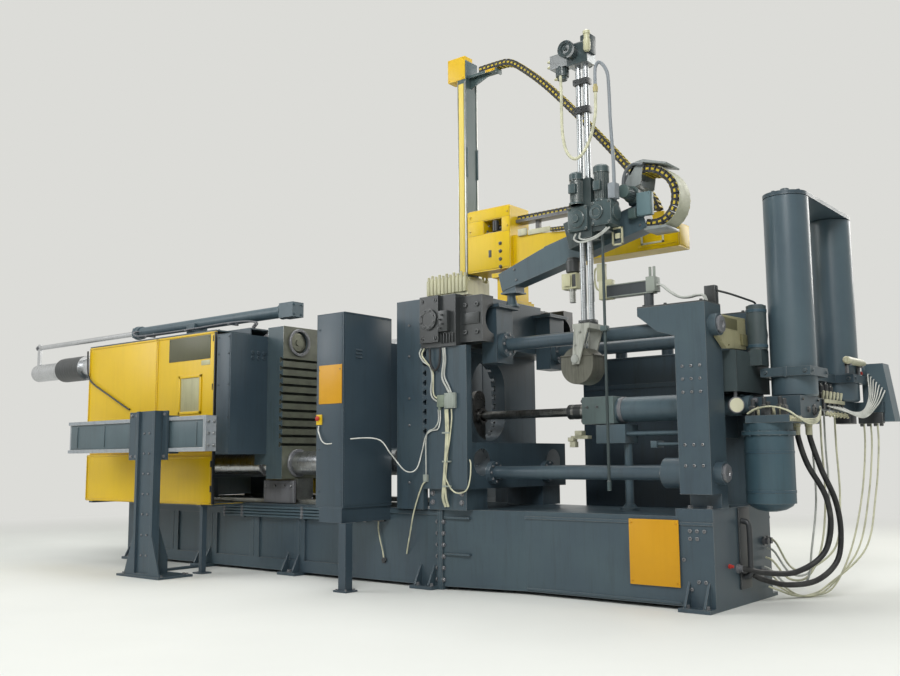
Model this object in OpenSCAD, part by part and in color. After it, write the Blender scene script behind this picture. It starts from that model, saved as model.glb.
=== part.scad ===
// Cold-chamber die casting machine with a two-platen die space, a toggle clamp behind a yellow guard,
// a C-frame injection end, a spray unit and a ladling arm.
// X runs along the machine towards the injection end, Y across it away from the operator, Z up.
// The origin is on the floor, on the centre line, under the die face of the fixed platen.

/* [Beds] */
// Height of the bed tops above the floor
bed_top = 970; // [850:10:1100]
// Gap between the bed undersides and the floor
bed_lift = 40; // [25:5:80]
// Width of the clamping bed
clamp_bed_w = 1960; // [1800:10:2100]
// Width of the injection bed behind its flare
shot_bed_w = 1540; // [1400:10:1700]
// Length of the clamping bed behind the die face
clamp_bed_l = 6600; // [6400:10:6800]
// Length of the injection bed in front of the die face
shot_bed_l = 3680; // [3500:10:3900]
// Height of the plinth under the C-frame column
plinth_h = 80; // [60:5:120]
// Radius of each anchor bolt hole in the bed feet
anchor_r = 21; // [15:1:30]

/* [Tie bars] */
// Diameter of each tie bar
tie_d = 330; // [280:5:360]
// Distance between tie bar axes across the machine
tie_gap_y = 1600; // [1500:10:1700]
// Distance between the upper and lower tie bar axes
tie_gap_z = 1750; // [1650:10:1800]
// Height of the lower tie bar axes
tie_low_z = 1550; // [1500:10:1600]
// Running clearance round each sliding tie bar
tie_clear = 0.5; // [0.3:0.1:1]

/* [Platens] */
// Width of all three platens
platen_w = 2200; // [2150:10:2260]
// Thickness of the fixed platen
fixed_t = 710; // [650:10:760]
// Height of the fixed platen
fixed_h = 2400; // [2360:10:2440]
// Thickness of the moving platen's face plate
moving_t = 340; // [300:10:380]
// Height of the moving platen
moving_h = 2200; // [2160:10:2240]
// Thickness of the rear platen
rear_t = 550; // [500:10:600]
// Height of the rear platen
rear_h = 2200; // [2160:10:2220]
// Open distance between the two die faces
daylight = 2640; // [2500:10:2800]
// Stroke of the moving platen
clamp_stroke = 1450; // [1300:10:1480]
// Distance from the moving die face to the rear platen's front
toggle_len = 2130; // [2000:10:2200]
// Thickness of the fixed platen's face wall, in front of its pocket
core_t = 230; // [210:10:260]
// Number of T-slots in each die face
slot_count = 11; // [9:1:11]
// Spacing of the T-slots
slot_pitch = 122; // [110:1:122]
// Width of a T-slot's mouth
slot_w = 36; // [28:1:42]

/* [Injection end] */
// Height of the plunger axis
shot_z = 2160; // [2120:5:2200]
// Diameter of the injection cylinder's barrel
shot_cyl_d = 300; // [260:5:340]
// Side of the square head block on the injection cylinder
shot_head = 320; // [300:5:360]
// Diameter of the plunger rod
plunger_d = 110; // [90:5:120]
// Stroke of the plunger
plunger_stroke = 760; // [600:10:800]
// Thickness of the C-frame column along the machine
column_t = 360; // [320:5:400]
// Height of the column's top above the floor
column_top = 3240; // [3200:10:3300]
// Diameter of the four C-frame bars
bar_d = 160; // [140:5:180]
// Distance between C-frame bar axes across the machine
bar_gap_y = 1200; // [1150:10:1240]
// Height of the upper C-frame bars
bar_high_z = 3000; // [2980:5:3010]
// Height of the lower C-frame bars
bar_low_z = 1420; // [1400:5:1440]
// Diameter of each accumulator bottle
bottle_d = 500; // [470:10:540]
// Length of each accumulator bottle
bottle_l = 2280; // [2200:10:2400]

/* [Guards] */
// Distance from the centre line to the yellow side panels
guard_y = 1750; // [1700:10:1800]
// Length of the yellow side panels
guard_l = 3310; // [3200:10:3340]
// Thickness of the guard panels
guard_t = 30; // [20:5:40]
// Height of the guard's top edge
guard_top = 3450; // [3420:10:3480]

/* [Tie bar puller] */
// Outer diameter of the puller cylinder
puller_d = 180; // [160:5:200]
// Height of the puller axis
puller_z = 3800; // [3780:5:3840]
// Stroke of the puller
puller_stroke = 3000; // [2800:10:3050]

/* [Extractor] */
// Length of the extractor beam
extractor_l = 3460; // [3300:10:3600]
// Height of the extractor beam's section
extractor_h = 480; // [440:10:520]
// Distance from the centre line to the extractor beam's middle
extractor_y = 2265; // [2240:5:2290]
// Stroke of the extractor beam
extractor_stroke = 1500; // [1200:10:1550]

/* [Spray unit] */
// Height of the spray column's top
spray_top = 7320; // [7000:10:7360]
// Distance from the centre line to the spray unit
spray_y = 220; // [200:5:240]
// Width of the spray column along the machine
spray_w = 152; // [140:4:180]
// Depth of the spray column across the machine
spray_d = 250; // [220:10:260]
// Length of the horizontal arm
spray_arm_l = 2390; // [2300:10:2450]

/* [Ladler] */
// Slope of the ladler's girder in degrees
girder_tilt = 13.7; // [12:0.1:15]
// Length of the ladler's girder
girder_l = 2120; // [2080:10:2300]
// Height of the girder's section
girder_h = 300; // [260:10:320]
// Height of the top of the ladler's guide bars
ladler_top = 6450; // [6300:10:6500]
// Diameter of each guide bar
guide_d = 70; // [60:2:80]

/* [Hidden] */
$fn = 64;

steel_blue = "#4a5a72";
guard_yellow = "#e0bc10";
bare_steel = "#9a9c98";
chrome = "#d8dade";
block_black = "#2c2e30";
cream = "#cfcba8";

tie_y = tie_gap_y / 2;
tie_high_z = tie_low_z + tie_gap_z;
platen_mid_z = tie_low_z + tie_gap_z / 2;
half_w = platen_w / 2;
fixed_low = platen_mid_z - fixed_h / 2;
fixed_high = platen_mid_z + fixed_h / 2;
moving_low = platen_mid_z - moving_h / 2;
moving_high = platen_mid_z + moving_h / 2;
rear_low = platen_mid_z - rear_h / 2;
rear_high = platen_mid_z + rear_h / 2;
moving_x = -daylight;
moving_back_x = moving_x - moving_t;
rear_x = moving_x - toggle_len;
rear_back_x = rear_x - rear_t;
column_x = shot_bed_l - column_t;
bar_y = bar_gap_y / 2;
tie_bore_d = tie_d + 2 * tie_clear;
way_h = 60;
way_w = 240;
way_y = 700;
seat = 0.3;

// Box between two opposite corners
module span(a, b) {
    translate(a) cube(b - a);
}

// Round bar along X from x1 to x2
module rod_x(x1, x2, y, z, d) {
    translate([x1, y, z]) rotate([0, 90, 0]) cylinder(h = x2 - x1, d = d);
}

// Round bar along Y from y1 to y2
module rod_y(x, y1, y2, z, d) {
    translate([x, y2, z]) rotate([90, 0, 0]) cylinder(h = y2 - y1, d = d);
}

// Round bar upwards from z1 to z2
module rod_z(x, y, z1, z2, d) {
    translate([x, y, z1]) cylinder(h = z2 - z1, d = d);
}

// Both sides of the machine
module both_sides() {
    children();
    mirror([0, 1, 0]) children();
}

// Plate standing in the XZ plane, drawn by its outline
module side_plate(y, t, points) {
    translate([0, y + t, 0]) rotate([90, 0, 0]) linear_extrude(height = t) polygon(points);
}

// T-slots across a die face that looks towards +X, with the face at x = 0
module t_slots(half_length) {
    for (i = [0 : slot_count - 1]) {
        z = platen_mid_z + (i - (slot_count - 1) / 2) * slot_pitch;
        span([-34, -half_length, z - slot_w / 2], [1, half_length, z + slot_w / 2]);
        span([-70, -half_length, z - slot_w], [-34, half_length, z + slot_w]);
    }
}

// Four tie bar bores through a platen
module tie_bores(x1, x2) {
    for (y = [-tie_y, tie_y], z = [tie_low_z, tie_high_z]) rod_x(x1, x2, y, z, tie_bore_d);
}

// Collar that seats a fixed tie bar against a platen
module tie_nut(x1, x2, y, z) rod_x(x1, x2, y, z, tie_d + 110);

// Foot plate under a bed with two anchor holes
foot_l = 360;
foot_reach = 150;
foot_t = 40;
anchor_inset = 70;
module bed_foot(x, half) {
    difference() {
        span([x - foot_l / 2, -half - foot_reach, 0], [x + foot_l / 2, half + foot_reach, foot_t]);
        for (s = [-1, 1]) rod_z(x, s * (half + foot_reach - anchor_inset), -1, foot_t + 1, 2 * anchor_r);
    }
    both_sides() for (dx = [-110, 110]) {
        translate([x + dx + 12, 0, 0]) rotate([90, 0, -90]) linear_extrude(height = 24)
            polygon([[half, foot_t], [half + foot_reach - 20, foot_t], [half + foot_reach - 20, foot_t + 20],
                [half, foot_t + 260]]);
    }
}

clamp_feet = [-clamp_bed_l + foot_l / 2 + 60, -4500, -2500, -20];
module clamp_bed() color(steel_blue) {
    half = clamp_bed_w / 2;
    difference() {
        span([-clamp_bed_l, -half, bed_lift], [200, half, bed_top]);
        // stepped pan between the ways
        span([-clamp_bed_l + 400, -way_y + way_w / 2 + 60, bed_top - 250],
            [-500, way_y - way_w / 2 - 60, bed_top + 1]);
        // shallow panels along both sides
        both_sides() for (x = [-6200 : 980 : -1400])
            span([x, -half - 1, bed_lift + 160], [x + 780, -half + 30, bed_top - 160]);
    }
    for (x = clamp_feet) bed_foot(x, half);
    // joint flange towards the injection bed
    span([160, -half - 30, 0], [200, half + 30, bed_top]);
}

flare_x1 = 260;
flare_x2 = 1320;
module shot_bed() color(steel_blue) {
    wide = clamp_bed_w / 2;
    half = shot_bed_w / 2;
    translate([0, 0, bed_lift]) linear_extrude(height = bed_top - bed_lift)
        polygon([[200, -wide], [flare_x1, -wide], [flare_x2, -half], [shot_bed_l, -half],
            [shot_bed_l, half], [flare_x2, half], [flare_x1, wide], [200, wide]]);
    // joint flange
    span([200, -wide - 30, 0], [240, wide + 30, bed_top]);
    // top ledge along both sides
    both_sides() side_plate(-half - 15, 15, [[flare_x2, bed_top - 90], [shot_bed_l, bed_top - 90],
        [shot_bed_l, bed_top - 60], [flare_x2, bed_top - 60]]);
    // plinth under the column
    span([column_x - 60, -half, bed_top], [shot_bed_l, half, bed_top + plinth_h]);
    bed_foot(shot_bed_l - foot_l / 2, half);
}

module bed_ways() color(bare_steel) both_sides() {
    span([rear_back_x - 200, -way_y - way_w / 2, bed_top],
        [moving_x + clamp_stroke + 490, -way_y + way_w / 2, bed_top + way_h]);
}

platen_foot_w = 420;
land_set = 12;
land_in = 95;
pocket_low = 1790;
pocket_high = tie_high_z - 320;
cheek_t = 100;
lock_in = 560;
module fixed_platen() color(steel_blue) difference() {
    union() {
        span([0, -half_w, fixed_low], [core_t, half_w, pocket_high]);
        // lower and upper bridges behind the face wall
        span([core_t, -half_w, fixed_low], [fixed_t, half_w, pocket_low]);
        span([0, -lock_in, pocket_high], [fixed_t, lock_in, fixed_high]);
        // side wall of the pocket, on the operator's side only
        span([core_t, -half_w, pocket_low], [fixed_t, -half_w + cheek_t, pocket_high]);
        both_sides() span([60, -half_w + 60, bed_top], [fixed_t - 60, -half_w + 60 + platen_foot_w, fixed_low]);
    }
    tie_bores(-1, fixed_t + 1);
    // margins set back behind the raised die land
    both_sides() span([-1, -half_w - 1, fixed_low - 1], [land_set, -half_w + land_in, fixed_high + 1]);
    // die face slots
    mirror([1, 0, 0]) t_slots(half_w + 1);
    // opening for the shot sleeve through the face wall
    sleeve_opening(-1, core_t + 1, 0);
}

opening_w = 726;
opening_low = 1825;
opening_high = 2902;
// Upright slot with round ends from x1 to x2, its wall moved in by a clearance
module sleeve_opening(x1, x2, clearance) {
    d = opening_w - 2 * clearance;
    span([x1, -d / 2, opening_low + opening_w / 2], [x2, d / 2, opening_high - opening_w / 2]);
    for (z = [opening_low, opening_high - opening_w]) rod_x(x1, x2, 0, z + opening_w / 2, d);
}

module die_space_frame() color(steel_blue) both_sides() {
    side_plate(-half_w, land_in - 5, [[-430, bed_top], [land_set, bed_top], [land_set, fixed_high],
        [-430, fixed_high]]);
}

// Split-nut lock round an upper tie bar
lock_low = 2980;
lock_t = 560;
module lock_unit() color(block_black) difference() {
    union() {
        span([20, -half_w - 40, lock_low], [20 + lock_t, -lock_in, fixed_high]);
        span([20 + lock_t, -half_w + 60, lock_low + 40], [20 + lock_t + 340, -bar_y - 210, fixed_high - 30]);
        // bolted cover plate on the outside
        span([40, -half_w - 90, lock_low + 60], [340, -half_w - 40, fixed_high]);
    }
    rod_x(-1, lock_t + 400, -tie_y, tie_high_z, tie_bore_d + 20);
    for (x = [85, 295], z = [lock_low + 110, fixed_high - 60])
        rod_y(x, -half_w - 91, -half_w - 70, z, 60);
}
module lock_front() lock_unit();
module lock_back() mirror([0, 1, 0]) lock_unit();

module fixed_tie_bars() color(chrome) {
    for (p = [[-tie_y, tie_low_z], [tie_y, tie_low_z], [tie_y, tie_high_z]])
        rod_x(rear_back_x - 260, fixed_t, p[0], p[1], tie_d);
    for (p = [[-tie_y, tie_low_z], [tie_y, tie_low_z], [tie_y, tie_high_z]])
        tie_nut(rear_back_x - 200, rear_back_x, p[0], p[1]);
}

module rear_platen() color(steel_blue) difference() {
    union() {
        span([rear_back_x, -half_w, rear_low], [rear_x, half_w, rear_high]);
        both_sides() span([rear_back_x + 40, -way_y - 180, bed_top + way_h],
            [rear_x - 40, -way_y + 180, rear_low]);
    }
    tie_bores(rear_back_x - 1, rear_x + 1);
}

guard_x1 = moving_back_x - 380;
guard_x0 = guard_x1 - guard_l;
panel_split = guard_x0 + 1600;
guard_low = bed_top;
guard_arms = [guard_x0 + 120, -5100, guard_x1 - 360];
// One side of the guard: an upper leaf, two lower leaves and a dark edge strip
module guard_side() {
    color(guard_yellow) {
        span([guard_x0, -guard_y, 1745], [guard_x1, -guard_y + guard_t, guard_top]);
        span([guard_x0 + 20, -guard_y, guard_low], [panel_split - 10, -guard_y + guard_t, 1700]);
        span([panel_split + 360, -guard_y, guard_low], [guard_x1 - 20, -guard_y + guard_t, 1660]);
        span([guard_x0 + 40, -guard_y + guard_t, guard_low + 20],
            [guard_x1 - 40, -guard_y + guard_t + 30, guard_top - 20]);
    }
    // arms from the bed, and a leg under the front one
    color(steel_blue) {
        for (x = guard_arms) span([x, -guard_y, bed_top - 30], [x + 100, -clamp_bed_w / 2, bed_top]);
        span([guard_arms[2] + 20, -guard_y + 50, 20], [guard_arms[2] + 80, -guard_y + 130, bed_top - 30]);
        span([guard_arms[2] - 50, -guard_y, 0], [guard_arms[2] + 150, -guard_y + 180, 20]);
    }
}
module guard_front() guard_side();
module guard_back() mirror([0, 1, 0]) guard_side();

// Roof with a raised middle that clears the upper tie bars
roof_rise = 110;
roof_half = half_w + 20;
module guard_roof() color(steel_blue) difference() {
    union() {
        span([guard_x0, -guard_y, guard_top], [guard_x1, guard_y, guard_top + 20]);
        span([guard_x0, -roof_half, guard_top], [guard_x1, roof_half, guard_top + roof_rise]);
    }
    span([guard_x0 - 1, -roof_half + 20, guard_top - 1], [guard_x1 + 1, roof_half - 20, guard_top + roof_rise - 20]);
    // opening over the puller's saddle
    span([rear_back_x - 60, -tie_y - 200, guard_top - 1], [rear_x + 60, -tie_y + 200, guard_top + roof_rise + 1]);
}

module guard_rear() color(steel_blue) difference() {
    span([guard_x0, -guard_y + guard_t + 30, bed_top], [guard_x0 + 30, guard_y - guard_t - 30, guard_top]);
    rod_x(guard_x0 - 1, guard_x0 + 31, -tie_y, tie_high_z, 560);
}

shield_x0 = -1110;
shield_x1 = -630;
shield_low = 1000;
shield_high = 3440;
shield_y = 1870;
shield_in = 985;
// Deep box with a thin wing towards the die space, clear of the tie bars
wing_t = 60;
wing_low = tie_low_z + tie_bore_d / 2 + 20;
wing_high = tie_high_z - tie_bore_d / 2 - 20;
module shield() color(steel_blue) {
    span([shield_x0, -shield_y, shield_low], [shield_x1, -shield_in, shield_high]);
    translate([shield_x1 - wing_t, 0, 0]) rotate([90, 0, 90]) linear_extrude(height = wing_t)
        polygon([[-shield_in, wing_low], [-620, wing_low], [-620, 2120], [-728, wing_high], [-shield_in, wing_high]]);
}
module shield_front() shield();
module shield_back() mirror([0, 1, 0]) shield();

module shield_stands() color(steel_blue) both_sides() {
    span([shield_x0 + 60, -shield_y, shield_low - 180], [shield_x1 - 20, -clamp_bed_w / 2, shield_low]);
    span([-720, -1940, 0], [-500, -1740, 20]);
    span([-670, -1900, 20], [-550, -1780, shield_low - 180]);
}

module oil_pipes() color(steel_blue) {
    for (i = [0 : 3]) {
        z = bed_top - 50 - 42 * i;
        rod_x(-4000, -1250 + 60 * i, -clamp_bed_w / 2 - 45, z, 34);
    }
    for (x = [-3600, -2300, -1300]) span([x, -clamp_bed_w / 2 - 30, bed_top - 210],
        [x + 40, -clamp_bed_w / 2, bed_top - 20]);
}

post_x0 = -4130;
post_x1 = -3690;
post_y = 2500;
extractor_z = 1960;
extractor_t = 170;
saddle_t = 30;
lip_t = 24;
module extractor_post() color(steel_blue) {
    front = -extractor_y - extractor_t / 2 - seat;
    back = -extractor_y + extractor_t / 2;
    low = extractor_z - extractor_h / 2 - seat;
    high = extractor_z + extractor_h / 2 + seat;
    sx0 = post_x0 - 350;
    sx1 = post_x1 + 120;
    span([post_x0 - 350, -post_y - 20, 0], [post_x1 + 210, -1960, 30]);
    // strap to the nearest bed foot
    span([clamp_feet[1] + 50, -1960, 0], [clamp_feet[1] + 150, -clamp_bed_w / 2 - foot_reach, 30]);
    // channel post, open to the front, with a brace behind it
    difference() {
        span([post_x0, -post_y, 30], [post_x1, front - saddle_t, high + 90]);
        span([post_x0 + 50, -post_y - 1, 60], [post_x1 - 50, -post_y + 35, high + 91]);
    }
    translate([post_x0 + 200, 0, 0]) rotate([90, 0, 90]) linear_extrude(height = 30)
        polygon([[front - saddle_t, 30], [-2080, 30], [-2080, 250], [front - saddle_t, 1100]]);
    for (s = [-1, 1]) side_plate(-post_y, 24, s > 0 ? [[post_x1, 30], [post_x1 + 200, 30], [post_x1, 560]]
        : [[post_x0 - 200, 30], [post_x0, 30], [post_x0, 560]]);
    // saddle plate in front of the beam, with a lip over it and one under it
    span([sx0, front - saddle_t, low - 110], [sx1, front, high + 90]);
    span([sx0, front, high], [sx1, back, high + lip_t]);
    span([sx0, front, low - lip_t], [sx1, back, low]);
}

extractor_x1 = shield_x0 - 130 - extractor_stroke;
module extractor_beam() {
    y0 = -extractor_y - extractor_t / 2;
    y1 = -extractor_y + extractor_t / 2;
    x0 = extractor_x1 - extractor_l;
    color(steel_blue) span([x0, y0 + 30, extractor_z - extractor_h / 2 + 50],
        [extractor_x1 - 60, y1 - 30, extractor_z + extractor_h / 2 - 50]);
    color(cream) {
        span([x0, y0, extractor_z + extractor_h / 2 - 50],
            [extractor_x1 - 60, y1, extractor_z + extractor_h / 2]);
        span([x0, y0, extractor_z - extractor_h / 2],
            [extractor_x1 - 60, y1, extractor_z - extractor_h / 2 + 50]);
        span([extractor_x1 - 60, y0, extractor_z - extractor_h / 2],
            [extractor_x1, y1, extractor_z + extractor_h / 2]);
    }
}

puller_x1 = moving_back_x + 10;
puller_x0 = -6770;
puller_y = -tie_y;
module puller_cylinder() color(steel_blue) {
    difference() {
        union() {
            rod_x(puller_x0, puller_x1, puller_y, puller_z, puller_d);
            rod_x(puller_x0 - 30, puller_x0 + 130, puller_y, puller_z, puller_d + 40);
            span([puller_x1, puller_y - 110, puller_z - 110], [puller_x1 + 300, puller_y + 110, puller_z + 110]);
        }
        rod_x(puller_x0 - 31, puller_x0 + puller_stroke + 400, puller_y, puller_z, 91);
    }
    // saddle on the rear platen
    difference() {
        span([rear_back_x + 120, puller_y - 130, rear_high], [rear_back_x + 320, puller_y + 130, puller_z]);
        rod_x(rear_back_x, rear_x, puller_y, puller_z, puller_d - 1);
    }
}

bar_x1 = moving_x - 20;
bar_x0 = -10090;
module drawn_tie_bar() {
    color(chrome) rod_x(bar_x0, bar_x1, -tie_y, tie_high_z, tie_d);
    color(block_black) difference() {
        rod_x(-9120, -8340, -tie_y, tie_high_z, 440);
        rod_x(-9121, -8339, -tie_y, tie_high_z, tie_d - 1);
    }
}

module puller_rod() {
    color(chrome) rod_x(bar_x0 + 40, puller_x0 + 300, puller_y, puller_z, 90);
    color(steel_blue) side_plate(-tie_y - 20, 40, [[bar_x0 - 60, tie_high_z - 120], [bar_x0 - 0.3, tie_high_z - 165],
        [bar_x0 - 0.3, tie_high_z + 165], [bar_x0 + 40, tie_high_z + 168], [bar_x0 + 40, puller_z + 70],
        [bar_x0 - 60, puller_z + 70]]);
}

cyl_x0 = 2200;
head_x0 = 1770;
coupling_x0 = 1500;
piston_d = 130;
module injection_cylinder() color(steel_blue) difference() {
    union() {
        rod_x(cyl_x0, column_x, 0, shot_z, shot_cyl_d);
        span([head_x0, -shot_head / 2, shot_z - shot_head / 2], [cyl_x0, shot_head / 2, shot_z + shot_head / 2]);
        rod_x(column_x, shot_bed_l + 60, 0, shot_z, 240);
        rod_x(shot_bed_l + 60, shot_bed_l + 160, 0, shot_z, 200);
    }
    rod_x(head_x0 - 1, head_x0 + plunger_stroke + 120, 0, shot_z, piston_d + 1);
}

module plunger() {
    color(bare_steel) rod_x(sleeve_x2 - 90, coupling_x0, 0, shot_z, plunger_d);
    color(block_black) rod_x(coupling_x0, head_x0 - 20, 0, shot_z, 185);
    color(chrome) rod_x(head_x0 - 20, head_x0 + plunger_stroke + 100, 0, shot_z, piston_d);
}

sleeve_d = 200;
sleeve_x2 = 140;
holder_w = 250;
holder_t = 60;
holder_top = shot_z + 340;
// Shot sleeve in a round-topped holder that stands in the foot of the platen's opening
module shot_sleeve() color(bare_steel) difference() {
    union() {
        rod_x(-60, sleeve_x2, 0, shot_z, sleeve_d);
        intersection() {
            sleeve_opening(land_set, land_set + holder_t, seat);
            union() {
                span([0, -holder_w / 2, opening_low], [core_t, holder_w / 2, holder_top - holder_w / 2]);
                rod_x(0, core_t, 0, holder_top - holder_w / 2, holder_w);
            }
        }
    }
    rod_x(-61, sleeve_x2 + 1, 0, shot_z, plunger_d + 30);
}

cheek_in = 360;
transom_t = 200;
transom_low = 1800;
transom_high = 2780;
module c_frame_column() color(steel_blue) difference() {
    half = shot_bed_w / 2;
    foot = bed_top + plinth_h;
    union() {
        // body and head with a slanted corbel towards the platen
        side_plate(-half, 2 * half, [[column_x, foot], [shot_bed_l, foot], [shot_bed_l, column_top],
            [column_x - 440, column_top], [column_x - 440, column_top - 90], [column_x - 200, column_top - 280],
            [column_x, column_top - 340]]);
    }
    // open middle over and under the transom, and the pocket behind it
    span([column_x - 441, -cheek_in, transom_high], [shot_bed_l + 1, cheek_in, column_top + 1]);
    span([column_x - 1, -cheek_in, foot - 1], [shot_bed_l + 1, cheek_in, transom_low]);
    span([column_x + transom_t, -cheek_in, foot - 1], [shot_bed_l + 1, cheek_in, column_top + 1]);
    // foot notches
    both_sides() span([column_x - 1, -half - 1, foot - 1], [shot_bed_l + 1, -half + 240, foot + 150]);
    rod_x(column_x - 1, shot_bed_l + 1, 0, shot_z, 241);
    for (y = [-bar_y, bar_y]) {
        rod_x(column_x - 442, shot_bed_l + 1, y, bar_high_z, bar_d + 0.6);
        rod_x(column_x - 1, shot_bed_l + 1, y, bar_low_z, bar_d + 0.6);
    }
}

module c_frame_bars() color(steel_blue)
    for (y = [-bar_y, bar_y], z = [bar_low_z, bar_high_z]) rod_x(fixed_t, shot_bed_l + 40, y, z, bar_d);

// Ring round a C-frame bar from x1 to x2
module bar_ring(x1, x2, y, z, d) difference() {
    rod_x(x1, x2, y, z, d);
    rod_x(x1 - 1, x2 + 1, y, z, bar_d);
}

module c_frame_nuts() color(steel_blue) for (y = [-bar_y, bar_y]) {
    bar_ring(bar_block_x1, bar_block_x1 + 70, y, bar_high_z, bar_d + 150);
    bar_ring(fixed_t, fixed_t + 70, y, bar_low_z, bar_d + 120);
    bar_ring(column_x - 230, column_x, y, bar_low_z, bar_d + 170);
    for (z = [bar_low_z, bar_high_z]) bar_ring(shot_bed_l, shot_bed_l + 90, y, z, bar_d + 80);
}

bar_block_x1 = fixed_t + 230;
block_top = 3460;
module bar_blocks() color(steel_blue) both_sides() {
    difference() {
        span([fixed_t, -bar_y - 170, bar_high_z - 230], [bar_block_x1, -bar_y + 170, block_top]);
        rod_x(fixed_t, bar_block_x1 + 1, -bar_y, bar_high_z, bar_d + 0.6);
    }
    span([fixed_t, -bar_y - 200, block_top], [bar_block_x1 + 60, -bar_y + 250, block_top + 40]);
}

near_x = shot_bed_l + 470;
near_y = 490;
far_y = 2000;
bottle_low = 2250;
collar_z = bottle_low + 220;
collar_t = 100;
collar_w = bottle_d + 60;
module bottle(y) color(steel_blue) {
    r = bottle_d / 2;
    translate([near_x, y, bottle_low]) rotate_extrude()
        polygon([[0, 0], [r - 20, 0], [r, 20], [r, bottle_l - 12], [r - 12, bottle_l], [0, bottle_l]]);
}
module accumulator_near() bottle(near_y);
module accumulator_far() bottle(far_y);

block_low = 1950;
frame_y2 = far_y + bottle_d / 2 + 50;
module accumulator_frame() color(steel_blue) {
    w = collar_w / 2;
    // manifold behind the column beside the cylinder, and the beam and end plate under the far bottle
    span([shot_bed_l, 130, block_low], [near_x + 180, near_y + 230, bottle_low]);
    span([shot_bed_l + 170, -230, block_low], [near_x + 180, 130, block_low + 80]);
    span([near_x - 130, near_y + 230, bottle_low - 130], [near_x + 130, frame_y2, bottle_low]);
    span([near_x + 130, frame_y2 - 100, bottle_low - 130], [near_x + 460, frame_y2, bottle_low]);
    // square collars round the bottles, the bar between them and the arm to the column
    difference() {
        union() {
            for (y = [near_y, far_y]) span([near_x - w, y - w, collar_z], [near_x + w, y + w, collar_z + collar_t]);
            span([near_x - 60, near_y, collar_z], [near_x + 60, far_y, collar_z + collar_t]);
            span([shot_bed_l, near_y + w - 100, collar_z], [near_x - w, near_y + w, collar_z + collar_t]);
        }
        for (y = [near_y, far_y]) rod_z(near_x, y, collar_z - 1, collar_z + collar_t + 1, bottle_d + 2 * seat);
    }
    // top plate over both bottles
    hull() for (y = [near_y, far_y]) rod_z(near_x, y, bottle_low + bottle_l, bottle_low + bottle_l + 45, bottle_d);
}

vessel_x = shot_bed_l + 320;
vessel_y = 30;
valve_low = 2300;
module oil_vessel() color(steel_blue) {
    rod_z(vessel_x, vessel_y, 1090, block_low, 520);
    rod_z(vessel_x, vessel_y, block_low - 130, block_low - 90, 570);
}

// Slate-coloured valve block behind the transom with a filter housing on it
module valve_block() color("#55605f") {
    span([column_x + transom_t, -280, valve_low], [shot_bed_l, cheek_in - 10, 2750]);
    span([shot_bed_l, -280, valve_low], [shot_bed_l + 120, 660, 2750]);
    span([shot_bed_l + 120, 110, 2600], [shot_bed_l + 250, 330, 2780]);
    rod_z(shot_bed_l + 170, 220, 2780, 3280, 220);
}

module terminal_box() color(steel_blue) {
    side_plate(frame_y2, 260, [[near_x + 205, 2010], [near_x + 566, 2010], [near_x + 461, 2730],
        [near_x + 205, 2730]]);
}

module hydraulic_tank() color(steel_blue) {
    span([1000, 1150, 0], [3100, 1900, 2900]);
    // skid beams to the bed
    for (x = [1500, 2700]) span([x, shot_bed_w / 2, 100], [x + 100, 1150, 200]);
}

module spray_pedestal() color(guard_yellow) {
    span([250, spray_y - 200, fixed_high], [700, spray_y + 200, fixed_high + 40]);
    span([330, spray_y - 130, fixed_high + 40], [660, spray_y + 130, arm_z0 - 60]);
    span([280, spray_y - 190, arm_z0 - 60], [690, spray_y + 190, arm_z0 - seat]);
}

arm_z0 = 4080;
arm_z1 = 4570;
arm_end_h = 290;
arm_x0 = 620;
arm_x1 = arm_x0 + spray_arm_l;
spray_x = -257;
module spray_arm() color(guard_yellow) {
    // tapered arm
    side_plate(spray_y - 150, 300, [[arm_x0, arm_z0], [arm_x1, arm_z0], [arm_x1, arm_z0 + arm_end_h],
        [arm_x0, arm_z1]]);
    // carriage housing
    difference() {
        span([-100, spray_y - 220, arm_z0 + 40], [arm_x0, spray_y + 220, 4980]);
        span([180, spray_y - 221, 4640], [480, spray_y + 221, 4820]);
    }
    // guide shoes behind the column
    for (z = [arm_z0 + 100, 4780]) span([spray_x + spray_w / 2 + seat, spray_y - 100, z], [-100, spray_y + 100, z + 160]);
    // stand for the end of the drop chain
    span([chain_end_x - 90, spray_y - 60, arm_z0 + arm_end_h], [chain_end_x + 90, spray_y + 60, chain_end_z]);
}

// Cable chain bent along a path of [x, z] points, with its middle on the path
chain_h = 90;
chain_w = 110;
function along(path, i) = path[min(i + 1, len(path) - 1)] - path[max(i - 1, 0)];
function beside(path, i, d) = path[i] + d * [-along(path, i)[1], along(path, i)[0]] / norm(along(path, i));
module cable_chain(y, path) side_plate(y - chain_w / 2, chain_w, concat(
    [for (i = [0 : len(path) - 1]) beside(path, i, chain_h / 2)],
    [for (i = [len(path) - 1 : -1 : 0]) beside(path, i, -chain_h / 2)]));

function arm_top(x) = arm_z1 + (arm_z0 + arm_end_h - arm_z1) * (x - arm_x0) / spray_arm_l;
tray_z = 4760;
tray_x1 = 2080;
// Reach chain in a tray held on two stays over the arm
module arm_chain() color(block_black) {
    cable_chain(spray_y, [[arm_x0 + 5, tray_z + chain_h / 2], [tray_x1 - 60, tray_z + chain_h / 2]]);
    span([arm_x0 + seat, spray_y - 90, tray_z - 12], [tray_x1, spray_y + 90, tray_z]);
    for (x = [900, 1700]) side_plate(spray_y - 30, 60, [[x, arm_top(x) + seat], [x + 60, arm_top(x + 60) + seat],
        [x + 60, tray_z - 12], [x, tray_z - 12]]);
}

chain_end_x = 2700;
chain_end_z = 4560;
chain_shelf_z = spray_top - 280;
chain_shelf_x = 300;
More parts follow.
